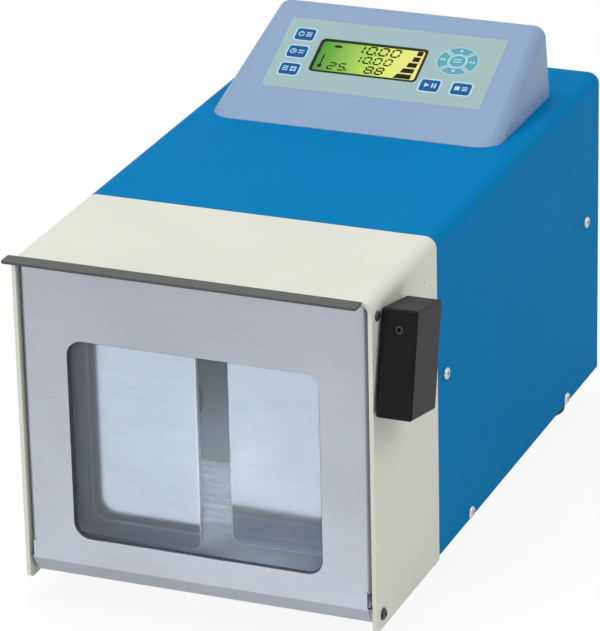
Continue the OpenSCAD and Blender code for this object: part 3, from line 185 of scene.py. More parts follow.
class PaddleBlenderSizes(PropertyGroup):
    """Sizes of what the frame leaves sharp or bare."""
    cover_edge: length_setting("Cover edges", "Rounding of the covers' cut edges", 0.6)
    door_edge: length_setting("Door edges", "Rounding of the door sheet's cut edges", 0.35)
    paddle_edge: length_setting("Paddle edges", "Rounding of the paddles' edges", 0.7)
    handle_edge: length_setting("Handle edges", "Rounding between the handle's bevels", 0.6)
    console_edge: length_setting("Console edges", "Rounding of the console's cut edges", 0.4)
    key_edge: length_setting("Key edges", "Rounding of the keys' top edges", 0.25)
    key_line: length_setting("Key line", "Width of the printed line round a rectangular key", 1.1)
    pad_line: length_setting("Pad line", "Width of the printed line round an arrow key", 0.6)
    print_height: length_setting("Print height", "Thickness of printed lines and marks", 0.06, 0.01)
    stroke: length_setting("Digit stroke", "Width of a digit's segments", 1.25, 0.1)


# --- modelling ---


def only(obj):
    """Makes an object the active one and the only one selected."""
    bpy.ops.object.select_all(action="DESELECT")
    obj.select_set(True)
    bpy.context.view_layer.objects.active = obj
    return obj


def pick(obj, kind, test):
    """Enters edit mode with those faces or edges selected whose middle and direction pass a test."""
    only(obj)
    bpy.context.tool_settings.mesh_select_mode = (False, kind == "EDGE", kind == "FACE")
    mesh = obj.data
    for group in (mesh.vertices, mesh.edges, mesh.polygons):
        group.foreach_set("select", [False] * len(group))
    if kind == "FACE":
        for face in mesh.polygons:
            face.select = bool(test(face.center, face.normal))
    else:
        for edge in mesh.edges:
            a, b = (mesh.vertices[i].co for i in edge.vertices)
            edge.select = bool(test((a + b) / 2, (b - a).normalized()))
    bpy.ops.object.mode_set(mode="EDIT")


def leave():
    """Leaves edit mode."""
    bpy.ops.object.mode_set(mode="OBJECT")


def modify(obj, kind, **settings):
    """Adds a modifier, sets it and applies it."""
    only(obj)
    modifier = obj.modifiers.new(kind.title(), kind)
    for name, value in settings.items():
        setattr(modifier, name, value)
    bpy.ops.object.modifier_apply(modifier=modifier.name)


def whole_copy(node, name):
    """Copy of a CAD piece with its points merged and its flat faces made whole."""
    obj = bpy.data.objects.new(name, NODES[node].data.copy())
    bpy.context.scene.collection.objects.link(obj)
    pick(obj, "FACE", lambda middle, normal: True)
    bpy.ops.mesh.remove_doubles(threshold=0.000002)
    bpy.ops.mesh.dissolve_limited(angle_limit=math.radians(0.2))
    leave()
    return obj


def smooth(obj, angle=35.0):
    """Shades a piece smooth between the edges sharper than an angle in degrees."""
    only(obj)
    bpy.ops.object.shade_smooth_by_angle(angle=math.radians(angle))
    modify(obj, "WEIGHTED_NORMAL", keep_sharp=True)


def carry(obj, body, slot, *nodes):
    """Puts a finished piece on its body and hides the nodes that it stands for. The slot is not used."""
    if nodes:
        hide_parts(*nodes)
    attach(obj, body)
    return obj


def coat(obj, *finishes):
    """Gives a piece its materials in place of any others."""
    obj.data.materials.clear()
    for material in finishes:
        obj.data.materials.append(material)
    return obj


def softened(node, width, material, segments=3, angle=30.0, name=None):
    """A CAD piece with its sharp edges rounded, in its material, standing for its node."""
    obj = whole_copy(node, name or node + "_piece")
    if width > 0:
        modify(obj, "BEVEL", width=width, segments=segments, limit_method="ANGLE",
               angle_limit=math.radians(angle), use_clamp_overlap=True, loop_slide=True)
    smooth(obj)
    coat(obj, material)
    return carry(obj, BODY_OF[node], SLOT_OF[node], node)


def copied(master, matrix):
    """Copy of a modelled piece with a mesh of its own, moved by a matrix."""
    obj = bpy.data.objects.new(master.name, master.data.copy())
    obj.data.transform(matrix)
    bpy.context.scene.collection.objects.link(obj)
    return obj


def joined(name, parts):
    """Joins pieces into one mesh."""
    bpy.ops.object.select_all(action="DESELECT")
    for part in parts:
        part.select_set(True)
    bpy.context.view_layer.objects.active = parts[0]
    if len(parts) > 1:
        bpy.ops.object.join()
    obj = bpy.context.object
    obj.name = obj.data.name = name
    return obj


def settle():
    """Moves the new piece's place, turn and size into its mesh."""
    bpy.ops.object.transform_apply(location=True, rotation=True, scale=True)
    return bpy.context.object


def plate(x, y, z, width, depth, height):
    """Block about a middle point, in mm."""
    bpy.ops.object.select_all(action="DESELECT")
    bpy.ops.mesh.primitive_cube_add(
        size=1.0, location=Vector((x, y, z)) * MM, scale=Vector((width, depth, height)) * MM)
    return settle()


def disc(x, y, z, radius, height, sides=40, turn=0.0):
    """Round or many-sided block about a middle point, in mm, turned about Z."""
    bpy.ops.object.select_all(action="DESELECT")
    bpy.ops.mesh.primitive_cylinder_add(
        vertices=sides, radius=radius * MM, depth=height * MM, location=Vector((x, y, z)) * MM,
        rotation=(0, 0, turn))
    return settle()


def upright(middle, direction):
    """Test for edges that run along Z."""
    return abs(direction.z) > 0.99


def discard(obj):
    """Removes a piece that served its purpose."""
    bpy.data.objects.remove(obj, do_unlink=True)


# --- materials ---


def add_node(tree, kind, inputs=None, **settings):
    """Adds a node, sets its properties, and sets or links its inputs."""
    node = tree.nodes.new(kind)
    for name, value in settings.items():
        setattr(node, name, value)
    for key, value in (inputs or {}).items():
        if isinstance(value, bpy.types.NodeSocket):
            tree.links.new(value, node.inputs[key])
        else:
            node.inputs[key].default_value = value
    return node


def blank(name):
    """New material without a surface yet, its nodes, and the piece's own coordinates."""
    material = bpy.data.materials.new(name)
    material.use_nodes = True
    tree = material.node_tree
    tree.nodes.clear()
    place = add_node(tree, "ShaderNodeTexCoord").outputs["Object"]
    return material, tree, place


def surfaced(material, inputs, pattern=None, strength=0.0, depth=0.1):
    """Gives a material its surface from even values and patterns, with a relief whose depth is in mm."""
    tree = material.node_tree
    if pattern is not None:
        inputs["Normal"] = add_node(tree, "ShaderNodeBump", {
            "Height": pattern, "Strength": strength, "Distance": depth * MM}).outputs[0]
    shader = add_node(tree, "ShaderNodeBsdfPrincipled", inputs)
    add_node(tree, "ShaderNodeOutputMaterial", {"Surface": shader.outputs[0]})
    return material


def shade(colour, factor=1.0):
    """Colour made lighter or darker, for a socket."""
    return tuple(min(1.0, c * factor) for c in colour) + (1.0,)


def grey(level):
    """Even grey, for a socket."""
    return (level, level, level, 1.0)


def cells(mm):
    """Scale of a pattern whose cells have a real size in mm."""
    return 1.0 / (mm * MM)


def tinted(tree, pattern, low, high, start=0.3, end=0.7, over=None):
    """Blends two colours by a pattern between a start and an end, and darkens what it lies over."""
    level = add_node(tree, "ShaderNodeMapRange", {"Value": pattern, "From Min": start, "From Max": end})
    blend = add_node(tree, "ShaderNodeMix", {0: level.outputs[0], 6: low, 7: high}, data_type="RGBA")
    if over is not None:
        blend = add_node(tree, "ShaderNodeMix", {0: 1.0, 6: over, 7: blend.outputs[2]},
                         data_type="RGBA", blend_type="MULTIPLY")
    return blend.outputs[2]


def seen_rays(tree):
    """1 for rays from the camera, from gloss and through glass, and 0 for light that falls on things."""
    path = add_node(tree, "ShaderNodeLightPath").outputs
    seen = path["Is Camera Ray"]
    for ray in ("Is Glossy Ray", "Is Transmission Ray"):
        seen = add_node(tree, "ShaderNodeMath", {0: seen, 1: path[ray]}, operation="MAXIMUM").outputs[0]
    return seen


def powder_coat(name, colour, specular):
    """Polyester powder baked on steel: even, dull colour with a faint orange peel 1.6 mm across.

    The powder's specks are about 0.05 mm across, too fine to show, so they are drawn 0.7 mm across.
    """
    material, tree, place = blank(name)
    cloud = add_node(tree, "ShaderNodeTexNoise", {"Vector": place, "Scale": cells(90.91), "Detail": 3.0})
    speck = add_node(tree, "ShaderNodeTexNoise", {"Vector": place, "Scale": cells(0.7143), "Detail": 1.0})
    peel = add_node(tree, "ShaderNodeTexNoise", {"Vector": place, "Scale": cells(1.613), "Detail": 1.5})
    base = tinted(tree, cloud.outputs["Fac"], shade(colour, 0.965), shade(colour, 1.02))
    return surfaced(material, {
        "Base Color": tinted(tree, speck.outputs["Fac"], grey(0.93), grey(1.0), over=base),
        "Roughness": tinted(tree, peel.outputs["Fac"], grey(0.48), grey(0.60)),
        "IOR": 1.5, "Specular IOR Level": specular}, peel.outputs["Fac"], 0.16, 0.2)


def worked_metal(name, colour, grain, rough, spread=0.06, cloud_mm=80.0, bump=0.06, painted_sheen_fade=None):
    """Bare or plated metal: streaks or grain from how it was worked, and soft clouding.

    The grain has a size in mm along each axis. A real one is about 0.1 mm wide, too fine to show, so it is
    drawn 1 to 6 mm wide. A painted sheen fade gives two heights and the factor by which the colour is painted
    darker between them: painted light low down, painted shade higher up.
    """
    material, tree, place = blank(name)
    along = add_node(tree, "ShaderNodeMapping", {"Vector": place, "Scale": tuple(map(cells, grain))})
    streak = add_node(tree, "ShaderNodeTexNoise", {"Vector": along.outputs[0], "Scale": 1.0, "Detail": 4.0})
    cloud = add_node(tree, "ShaderNodeTexNoise", {"Vector": place, "Scale": cells(cloud_mm), "Detail": 3.0})
    base = tinted(tree, cloud.outputs["Fac"], shade(colour, 1.0 - spread), shade(colour, 1.0 + spread))
    metal = tinted(tree, streak.outputs["Fac"], grey(1.0 - spread), grey(1.0), over=base)
    # Painted light and shade: the colour is lighter low down and painted darker between the two heights
    if painted_sheen_fade:
        low, high, factor = painted_sheen_fade
        height = add_node(tree, "ShaderNodeSeparateXYZ", {"Vector": place}).outputs["Z"]
        metal = tinted(tree, height, grey(1.0), grey(factor), low, high, over=metal)
    return surfaced(material, {
        "Base Color": metal, "Metallic": 1.0,
        "Roughness": tinted(tree, streak.outputs["Fac"], grey(rough[0]), grey(rough[1]), 0.25, 0.75)},
        streak.outputs["Fac"], bump)


def blasted_steel(name, colour, metallic):
    """Bead-blasted stainless: a soft grey that scatters light inside the chamber.

    The pits are about 0.1 mm across, too fine to show, so they are drawn 0.8 mm across.
    """
    material, tree, place = blank(name)
    cloud = add_node(tree, "ShaderNodeTexNoise", {"Vector": place, "Scale": cells(55.56), "Detail": 4.0})
    grit = add_node(tree, "ShaderNodeTexNoise", {"Vector": place, "Scale": cells(0.7692), "Detail": 2.0})
    return surfaced(material, {
        "Base Color": tinted(tree, cloud.outputs["Fac"], shade(colour, 0.92), shade(colour, 1.04)),
        "Roughness": tinted(tree, grit.outputs["Fac"], grey(0.42), grey(0.55)),
        "Metallic": metallic}, grit.outputs["Fac"], 0.12)


def grained(name, colour, rough, grain_mm, bump, specular, spread=0.04):
    """Plastic, rubber, enamel, oxide, cast iron or ink: even colour with a fine grain.

    The grain is about 0.1 mm across, too fine to show, so it is drawn 0.5 to 2 mm across.
    """
    material, tree, place = blank(name)
    cloud = add_node(tree, "ShaderNodeTexNoise", {"Vector": place, "Scale": cells(35.71), "Detail": 3.0})
    grain = add_node(tree, "ShaderNodeTexNoise", {"Vector": place, "Scale": cells(grain_mm), "Detail": 2.0})
    dark, pale = shade(colour, 1.0 - spread), shade(colour, 1.0 + spread)
    return surfaced(material, {
        "Base Color": tinted(tree, cloud.outputs["Fac"], dark, pale),
        "Roughness": tinted(tree, grain.outputs["Fac"], grey(rough - 0.05), grey(rough + 0.05)),
        "IOR": 1.53, "Specular IOR Level": specular}, grain.outputs["Fac"], bump)


def keypad_film(name, middle, end, rim):
    """Polyester film printed on its back: matt, greener at both ends, its print thinning out at the rim.

    Its matt grain is about 0.05 mm across, too fine to show, so it is drawn 0.6 mm across.
    """
    material, tree, place = blank(name)
    flat = add_node(tree, "ShaderNodeMapping", {"Vector": place, "Location": tuple(-FILM_MIDDLE)})
    flat = add_node(tree, "ShaderNodeMapping", {
        "Vector": flat.outputs[0], "Rotation": (-SLOPE_ANGLE, 0.0, 0.0)})
    reach = add_node(tree, "ShaderNodeVectorMath", {0: flat.outputs[0]}, operation="ABSOLUTE")
    axes = add_node(tree, "ShaderNodeSeparateXYZ", {"Vector": reach.outputs[0]})
    inside = []
    for axis, size in zip("XY", FILM_SIZE):
        inside.append(add_node(tree, "ShaderNodeMapRange", {
            "Value": axes.outputs[axis], "From Min": size / 2 - 1.8 * MM, "From Max": size / 2 - 0.1 * MM,
            "To Min": 1.0, "To Max": 0.0}, interpolation_type="SMOOTHSTEP").outputs[0])
    printed = add_node(tree, "ShaderNodeMath", {0: inside[0], 1: inside[1]}, operation="MULTIPLY")
    width = FILM_SIZE[0]
    ink = tinted(tree, axes.outputs["X"], shade(middle), shade(end), width * 0.2, width * 0.5)
    ink = tinted(tree, printed.outputs[0], shade(rim), ink, 0.0, 1.0)
    grain = add_node(tree, "ShaderNodeTexNoise", {"Vector": place, "Scale": cells(0.625), "Detail": 2.0})
    return surfaced(material, {
        "Base Color": tinted(tree, grain.outputs["Fac"], grey(0.965), grey(1.0), over=ink),
        "Roughness": 0.5, "Specular IOR Level": 0.12}, grain.outputs["Fac"], 0.08)


def lit_screen(name, left, right):
    """Backlit liquid crystal cell: green far from its lamp, yellow near it, with pixels 0.45 mm across."""
    material, tree, place = blank(name)
    axes = add_node(tree, "ShaderNodeSeparateXYZ", {"Vector": place})
    across = add_node(tree, "ShaderNodeMapRange", {
        "Value": axes.outputs["X"], "From Min": SCREEN_ENDS[0], "From Max": SCREEN_ENDS[1]})
    glow = add_node(tree, "ShaderNodeValToRGB", {"Fac": across.outputs[0]})
    stops = glow.color_ramp.elements
    stops[0].color = shade(left)
    stops[1].color = shade(right)
    for position, code in ((0.42, "#A3CF57"), (0.72, "#DDE876")):
        stops.new(position).color = shade(linear(code))
    pixels = add_node(tree, "ShaderNodeTexChecker", {"Vector": place, "Scale": cells(0.45455)})
    return surfaced(material, {
        "Base Color": tinted(tree, pixels.outputs["Fac"], grey(1.0), grey(0.97), 0.0, 1.0, glow.outputs[0]),
        "Roughness": 0.35, "Specular IOR Level": 0.08})


def window_pane(name):
    """Cast acrylic: nearly clear, so that light reaches the chamber, with wiping marks 33 mm across."""
    material, tree, place = blank(name)
    haze = add_node(tree, "ShaderNodeTexNoise", {"Vector": place, "Scale": cells(33.33), "Detail": 5.0})
    dull, clear = shade(linear("#DCE6EA")), shade(linear("#E8F0F2"))
    return surfaced(material, {
        "Base Color": tinted(tree, haze.outputs["Fac"], dull, clear),
        "Roughness": tinted(tree, haze.outputs["Fac"], grey(0.03), grey(0.07)),
        "IOR": 1.49, "Alpha": 0.08})


def finish(name):
    """The material of a finish, made on first use from the colour settings."""
    found = bpy.data.materials.get(name)
    if found:
        return found
    tones = bpy.context.scene.paddle_blender_colours
    makers = {
        # Powder coat hides the steel and keeps only a soft sheen on its bends
        "cream powder coat": lambda: powder_coat(name, tones.hood, 0.08),
        "blue powder coat": lambda: powder_coat(name, tones.casing, 0.015),
        # Belt-ground sheet: streaks along the width, and a painted broad dull shine, lighter low down and
        # painted darker upwards
        "ground stainless door": lambda: worked_metal(
            name, tones.door, LONG_STREAKS, (0.30, 0.42), painted_sheen_fade=(0.03, 0.21, 0.80)),
        # The same sheet where it is bent under and out of the light
        "shaded stainless tuck": lambda: worked_metal(
            name, tuple(c * 0.72 for c in tones.door), LONG_STREAKS, (0.35, 0.45)),
        # The lip is painted as a dull dark grey band: a painted dark reflection
        "stainless lip with painted dark reflection": lambda: worked_metal(name, tones.lip, LONG_STREAKS, (0.40, 0.50)),
        # Polished plate: pale and bluish, with soft clouds of reflected light
        "polished stainless paddle": lambda: worked_metal(
            name, tones.paddle, (83.333, 2, 2), (0.12, 0.20), spread=0.05, cloud_mm=30.0, bump=0.03),
        # The cut edge is painted pale and even: a painted highlight line along it
        "paddle edge with painted highlight": lambda: worked_metal(name, linear("#E4ECF4"), (5, 5, 5), (0.40, 0.50)),
        # Bead-blasted sheet: dull blue-grey walls and a cooler rim; the rolled ribs, the low rear wall and
        # the floor are painted near white as painted light from the window
        "satin stainless chamber": lambda: blasted_steel(name, tones.chamber, 0.55),
        "blasted stainless rim": lambda: blasted_steel(name, linear("#93A3B6"), 0.75),
        "chamber stainless with painted window light": lambda: blasted_steel(name, linear("#C6DBF4"), 0.1),
        # Hot-dip zinc: grey with crystals about 12 mm across
        "galvanised sheet": lambda: worked_metal(
            name, linear("#B2B7BD"), (6.25, 6.25, 6.25), (0.38, 0.55), spread=0.08, cloud_mm=12.0),
        # Turned steel and aluminium: bright, with the tool's marks round the axis
        "turned steel": lambda: worked_metal(
            name, linear("#C6CACE"), (1.1111, 16.667, 16.667), (0.20, 0.30)),
        "machined aluminium": lambda: worked_metal(
            name, linear("#ADB1B5"), (1.1111, 12.5, 12.5), (0.28, 0.40)),
        # Bright zinc with a faint bloom, and brass-brown bearing metal
        "zinc-plated screw": lambda: worked_metal(
            name, linear("#C9CDD0"), (3.3333, 3.3333, 3.3333), (0.22, 0.32)),
        "sintered bronze": lambda: worked_metal(name, linear("#B08C48"), (2, 2, 2), (0.30, 0.42)),
        # Oiled black oxide: nearly black, a little shine
        "black oxide screw": lambda: grained(name, linear("#2A2C2E"), 0.38, 0.5, 0.1, 0.5),
        # Cast and milled iron, sprayed enamel, and lacquer over copper tracks
        "machined cast iron": lambda: grained(name, linear("#74787C"), 0.55, 1.6, 0.35, 0.5, 0.10),
        "motor enamel": lambda: grained(name, linear("#41464B"), 0.45, 1.2, 0.15, 0.5),
        "solder mask": lambda: grained(name, linear("#236244"), 0.35, 2.0, 0.1, 0.5, 0.12),
        # Injection mouldings: a fine spark-eroded grain that softens the shine
        "moulded ABS console": lambda: grained(name, tones.console, 0.42, 0.9, 0.10, 0.25, 0.02),
        "glass-filled nylon handle": lambda: grained(name, tones.handle, 0.45, 0.8, 0.12, 0.12, 0.08),
        "black polycarbonate": lambda: grained(name, linear("#202224"), 0.40, 0.8, 0.12, 0.5),
        # Rubbers: matt and slightly dusty
        "black neoprene": lambda: grained(name, linear("#191A1B"), 0.70, 1.0, 0.2, 0.4, 0.10),
        "EPDM gasket": lambda: grained(name, linear("#343A41"), 0.60, 1.0, 0.15, 0.4, 0.08),
        # Screen-printed inks: flat colour, hardly any shine
        "blue key ink": lambda: grained(name, tones.keys, 0.45, 1.0, 0.05, 0.10, 0.06),
        "teal key ink": lambda: grained(name, tones.pad, 0.45, 1.0, 0.05, 0.10, 0.04),
        "pale printing ink": lambda: grained(name, tones.print_line, 0.5, 1.0, 0.05, 0.2, 0.03),
        "screen frame ink": lambda: grained(name, linear("#16220F"), 0.4, 1.0, 0.05, 0.08, 0.10),
        "liquid crystal segment": lambda: grained(name, linear("#15170A"), 0.4, 1.0, 0.05, 0.05, 0.08),
        "keypad film": lambda: keypad_film(name, tones.film_middle, tones.film_end, tones.console),
        "lit screen": lambda: lit_screen(name, tones.screen_left, tones.screen_right),
        "acrylic pane": lambda: window_pane(name),
    }
    return makers[name]()


# --- pieces ---


class PADDLEBLENDER_OT_covers(Operator):
    """Model the hood, the rear casing, the rear panel and the inner sheets with rounded cut edges"""
    bl_idname = "paddle_blender.covers"
    bl_label = "Covers"

    def execute(self, context):
        sizes = context.scene.paddle_blender_sizes
        softened("front_hood", sizes.cover_edge, finish("cream powder coat"))
        softened("rear_casing", sizes.cover_edge * 0.6, finish("blue powder coat"))
        softened("rear_panel", sizes.cover_edge * 0.6, finish("blue powder coat"))
        softened("base_plate", 0.3 * MM, finish("galvanised sheet"), segments=2)
        softened("front_fascia", 0.3 * MM, finish("galvanised sheet"), segments=2)
        return {"FINISHED"}


class PADDLEBLENDER_OT_door(Operator):
    """Model the door sheet with its lip, the catch pins, the window pane, its gasket and its frame"""
    bl_idname = "paddle_blender.door"
    bl_label = "Door"

    def execute(self, context):
        sizes = context.scene.paddle_blender_sizes
        door = softened("door_panel", sizes.door_edge, finish("ground stainless door"))
        door.data.materials.append(finish("stainless lip with painted dark reflection"))
        door.data.materials.append(finish("shaded stainless tuck"))
        # The lip's faces get the painted dark reflection, and the tucked edge's faces the painted shade
        lip_z = max(v.co.z for v in door.data.vertices) - LIP_HEIGHT
        for face in door.data.polygons:
            if face.center.z > lip_z and face.center.y < DOOR_FOOT.y - 0.1 * MM:
                face.material_index = 1
            elif face.center.z < DOOR_FOOT.z + TUCK_HEIGHT and face.normal.z < -0.3:
                face.material_index = 2
        softened("door_glass", 0.4 * MM, finish("acrylic pane"))
        softened("door_gasket", 0.25 * MM, finish("EPDM gasket"))
        softened("glass_retainer", 0.4 * MM, finish("blasted stainless rim"))
        softened("catch_pins", 0.3 * MM, finish("turned steel"))
        return {"FINISHED"}


class PADDLEBLENDER_OT_chamber(Operator):
    """Model the chamber, the rod seals, the paddles and their rods"""
    bl_idname = "paddle_blender.chamber"
    bl_label = "Chamber and paddles"

    def execute(self, context):
        sizes = context.scene.paddle_blender_sizes
        liner = softened("chamber_liner", 0.35 * MM, finish("satin stainless chamber"))
        liner.data.materials.append(finish("chamber stainless with painted window light"))
        liner.data.materials.append(finish("blasted stainless rim"))
        # The ribs, the strips of rear wall between them and the floor are painted brighter as painted light
        # from the window, and the rim is cooler
        wall_y = min(v.co.y for v in NODES["rod_seals"].data.vertices)
        for face in liner.data.polygons:
            at_wall = wall_y < face.center.y < wall_y + RIBS_DEPTH and face.normal.y < -0.05
            on_floor = face.normal.z > 0.95 and face.center.y < wall_y
            if face.center.z < DOOR_FOOT.z + RIBS_TOP and (at_wall or on_floor):
                face.material_index = 1
            elif face.center.y < wall_y - RIM_DISTANCE and face.normal.y < -0.5:
                face.material_index = 2
        softened("rod_seals", 0.8 * MM, finish("black neoprene"))
        for side in ("left", "right"):
            paddle = softened(side + "_paddle", sizes.paddle_edge, finish("polished stainless paddle"))
            paddle.data.materials.append(finish("paddle edge with painted highlight"))
            # The cut edges of each paddle get the pale painted highlight
            for face in paddle.data.polygons:
                if abs(face.normal.y) < 0.97:
                    face.material_index = 1
            softened(side + "_push_rod", 0.4 * MM, finish("turned steel"))
        return {"FINISHED"}


class PADDLEBLENDER_OT_latch(Operator):
    """Model the latch shaft, its bushes and hooks, and the handle block"""
    bl_idname = "paddle_blender.latch"
    bl_label = "Latch"

    def execute(self, context):
        sizes = context.scene.paddle_blender_sizes
        softened("handle_block", sizes.handle_edge, finish("glass-filled nylon handle"), segments=4)
        softened("handle_set_screw", 0.2 * MM, finish("black oxide screw"), segments=2)
        softened("latch_bushes", 0.4 * MM, finish("black polycarbonate"))
        softened("latch_shaft", 0.5 * MM, finish("turned steel"))
        softened("latch_hooks", 0.4 * MM, finish("turned steel"))
        return {"FINISHED"}


class PADDLEBLENDER_OT_screws(Operator):
    """Model a domed screw with a cross recess and copy it to each place, and finish the socket screws"""
    bl_idname = "paddle_blender.screws"
    bl_label = "Screws"

    def execute(self, context):
        # One pan head with its shank, standing on its seat; the shank reaches 0.1 mm into the head
        head = disc(0, 0, HEAD_HEIGHT / 2, HEAD_WIDTH / 2, HEAD_HEIGHT, 36)
        pick(head, "EDGE", lambda middle, way: middle.z > (HEAD_HEIGHT - 0.1) * MM and abs(way.z) < 0.1)
        bpy.ops.mesh.bevel(offset=HEAD_ROUNDING * MM, segments=5, profile=0.55)
        leave()
        shank = disc(0, 0, 0.1 - SHANK_LENGTH / 2, SHANK_WIDTH / 2, SHANK_LENGTH, 20)
        pick(shank, "EDGE", lambda middle, way: middle.z < (0.3 - SHANK_LENGTH) * MM and abs(way.z) < 0.1)
        bpy.ops.mesh.bevel(offset=SHANK_CHAMFER * MM, segments=1)
        leave()
        cutter = joined("cross", [
            plate(0, 0, HEAD_HEIGHT, CROSS_LENGTH, CROSS_WIDTH, 2 * CROSS_DEPTH),
            plate(0, 0, HEAD_HEIGHT, CROSS_WIDTH, CROSS_LENGTH, 2 * CROSS_DEPTH)])
        modify(head, "BOOLEAN", operation="DIFFERENCE", object=cutter, solver="EXACT", use_self=True)
        discard(cutter)
        master = joined("pan_screw", [head, shank])
        # The frame's own screws give each seat, size and direction
        seats = whole_copy("casing_screws", "screw_seats")
        pick(seats, "FACE", lambda middle, normal: True)
        bpy.ops.mesh.separate(type="LOOSE")
        leave()
        side_x = max(v.co.x for v in NODES["rear_casing"].data.vertices)
        screws = []
        for number, seat in enumerate(list(context.selected_objects)):
            low, high = Vector(seat.bound_box[0]), Vector(seat.bound_box[6])
            middle = (low + high) / 2
            if high.x > side_x + 0.5 * MM:
                top, angle, axis, across = Vector((high.x, middle.y, middle.z)), math.pi / 2, "Y", 1
            elif low.x < 2 * DOOR_FOOT.x - side_x - 0.5 * MM:
                top, angle, axis, across = Vector((low.x, middle.y, middle.z)), -math.pi / 2, "Y", 1
            else:
                top, angle, axis, across = Vector((middle.x, high.y, middle.z)), -math.pi / 2, "X", 2
            scale = (high - low)[across] / (HEAD_WIDTH * MM)
            screws.append(copied(master, Matrix.Translation(top) @ Matrix.Rotation(angle, 4, axis)
                                 @ Matrix.Scale(scale, 4) @ Matrix.Translation((0, 0, -HEAD_HEIGHT * MM))
                                 @ Matrix.Rotation(CROSS_TURN * number, 4, "Z")))
            discard(seat)
        discard(master)
        screws = joined("casing_screw_set", screws)
        smooth(screws, 30.0)
        coat(screws, finish("zinc-plated screw"))
        carry(screws, "machine", "bright_steel", "casing_screws")
        softened("hood_screws", 0.35 * MM, finish("black oxide screw"))
        coat(NODES["console_screws"], finish("zinc-plated screw"))
        return {"FINISHED"}


class PADDLEBLENDER_OT_feet(Operator):
    """Round the rubber feet"""
    bl_idname = "paddle_blender.feet"
    bl_label = "Feet"

    def execute(self, context):
        softened("rubber_feet", 0.8 * MM, finish("black neoprene"))
        return {"FINISHED"}


class PADDLEBLENDER_OT_console(Operator):
    """Model the console housing and the film on its slope"""
    bl_idname = "paddle_blender.console"
    bl_label = "Console"

    def execute(self, context):
        sizes = context.scene.paddle_blender_sizes
        softened("console_housing", sizes.console_edge, finish("moulded ABS console"), angle=40.0)
        softened("keypad_overlay", 0.08 * MM, finish("keypad film"), segments=2)
        coat(NODES["control_board"], finish("solder mask"))
        return {"FINISHED"}


def printed_line(node, start, width, height):
    """Flat ring round a key's top, lying on the film."""
    ring = whole_copy(node, node + "_line")
    top = max((SLOPE.inverted() @ v.co).z for v in ring.data.vertices)

    def off_top(middle, normal):
        return normal.dot(SLOPE_NORMAL) < 0.99 or (SLOPE.inverted() @ middle).z < top - 0.1 * MM

    pick(ring, "FACE", off_top)
    bpy.ops.mesh.delete(type="FACE")
    bpy.ops.mesh.select_all(action="SELECT")
    bpy.ops.mesh.delete(type="ONLY_FACE")
    bpy.ops.mesh.select_mode(type="EDGE")
    bpy.ops.mesh.select_all(action="SELECT")
    bpy.ops.mesh.extrude_region()
    bpy.ops.transform.translate(value=SLOPE_NORMAL * height)
    bpy.ops.mesh.select_all(action="SELECT")
    bpy.ops.mesh.normals_make_consistent(inside=False)
    bpy.ops.transform.shrink_fatten(value=start, use_even_offset=True)
    leave()
    ring.data.transform(Matrix.Translation(-SLOPE_NORMAL * top))
    modify(ring, "SOLIDIFY", thickness=width, offset=1.0, use_even_offset=True)
    return ring


def key_mark(node, parts):
    """Joins what is printed on a key, drawn flat, and lays it on the key's top."""
    mark = joined(node + "_mark", parts)
    mark.data.transform(SLOPE)
    smooth(mark, 30.0)
    coat(mark, finish("pale printing ink"))
    return carry(mark, BODY_OF[node], "keypad_film")


def thin_ring(x, y, z, radius, stroke, height):
    """Flat printed ring."""
    ring = disc(x, y, z, radius, height, 40)
    pick(ring, "FACE", lambda middle, normal: abs(normal.z) > 0.9)
    bpy.ops.mesh.inset(thickness=stroke * MM)
    bpy.ops.mesh.bridge_edge_loops()
    leave()
    return ring


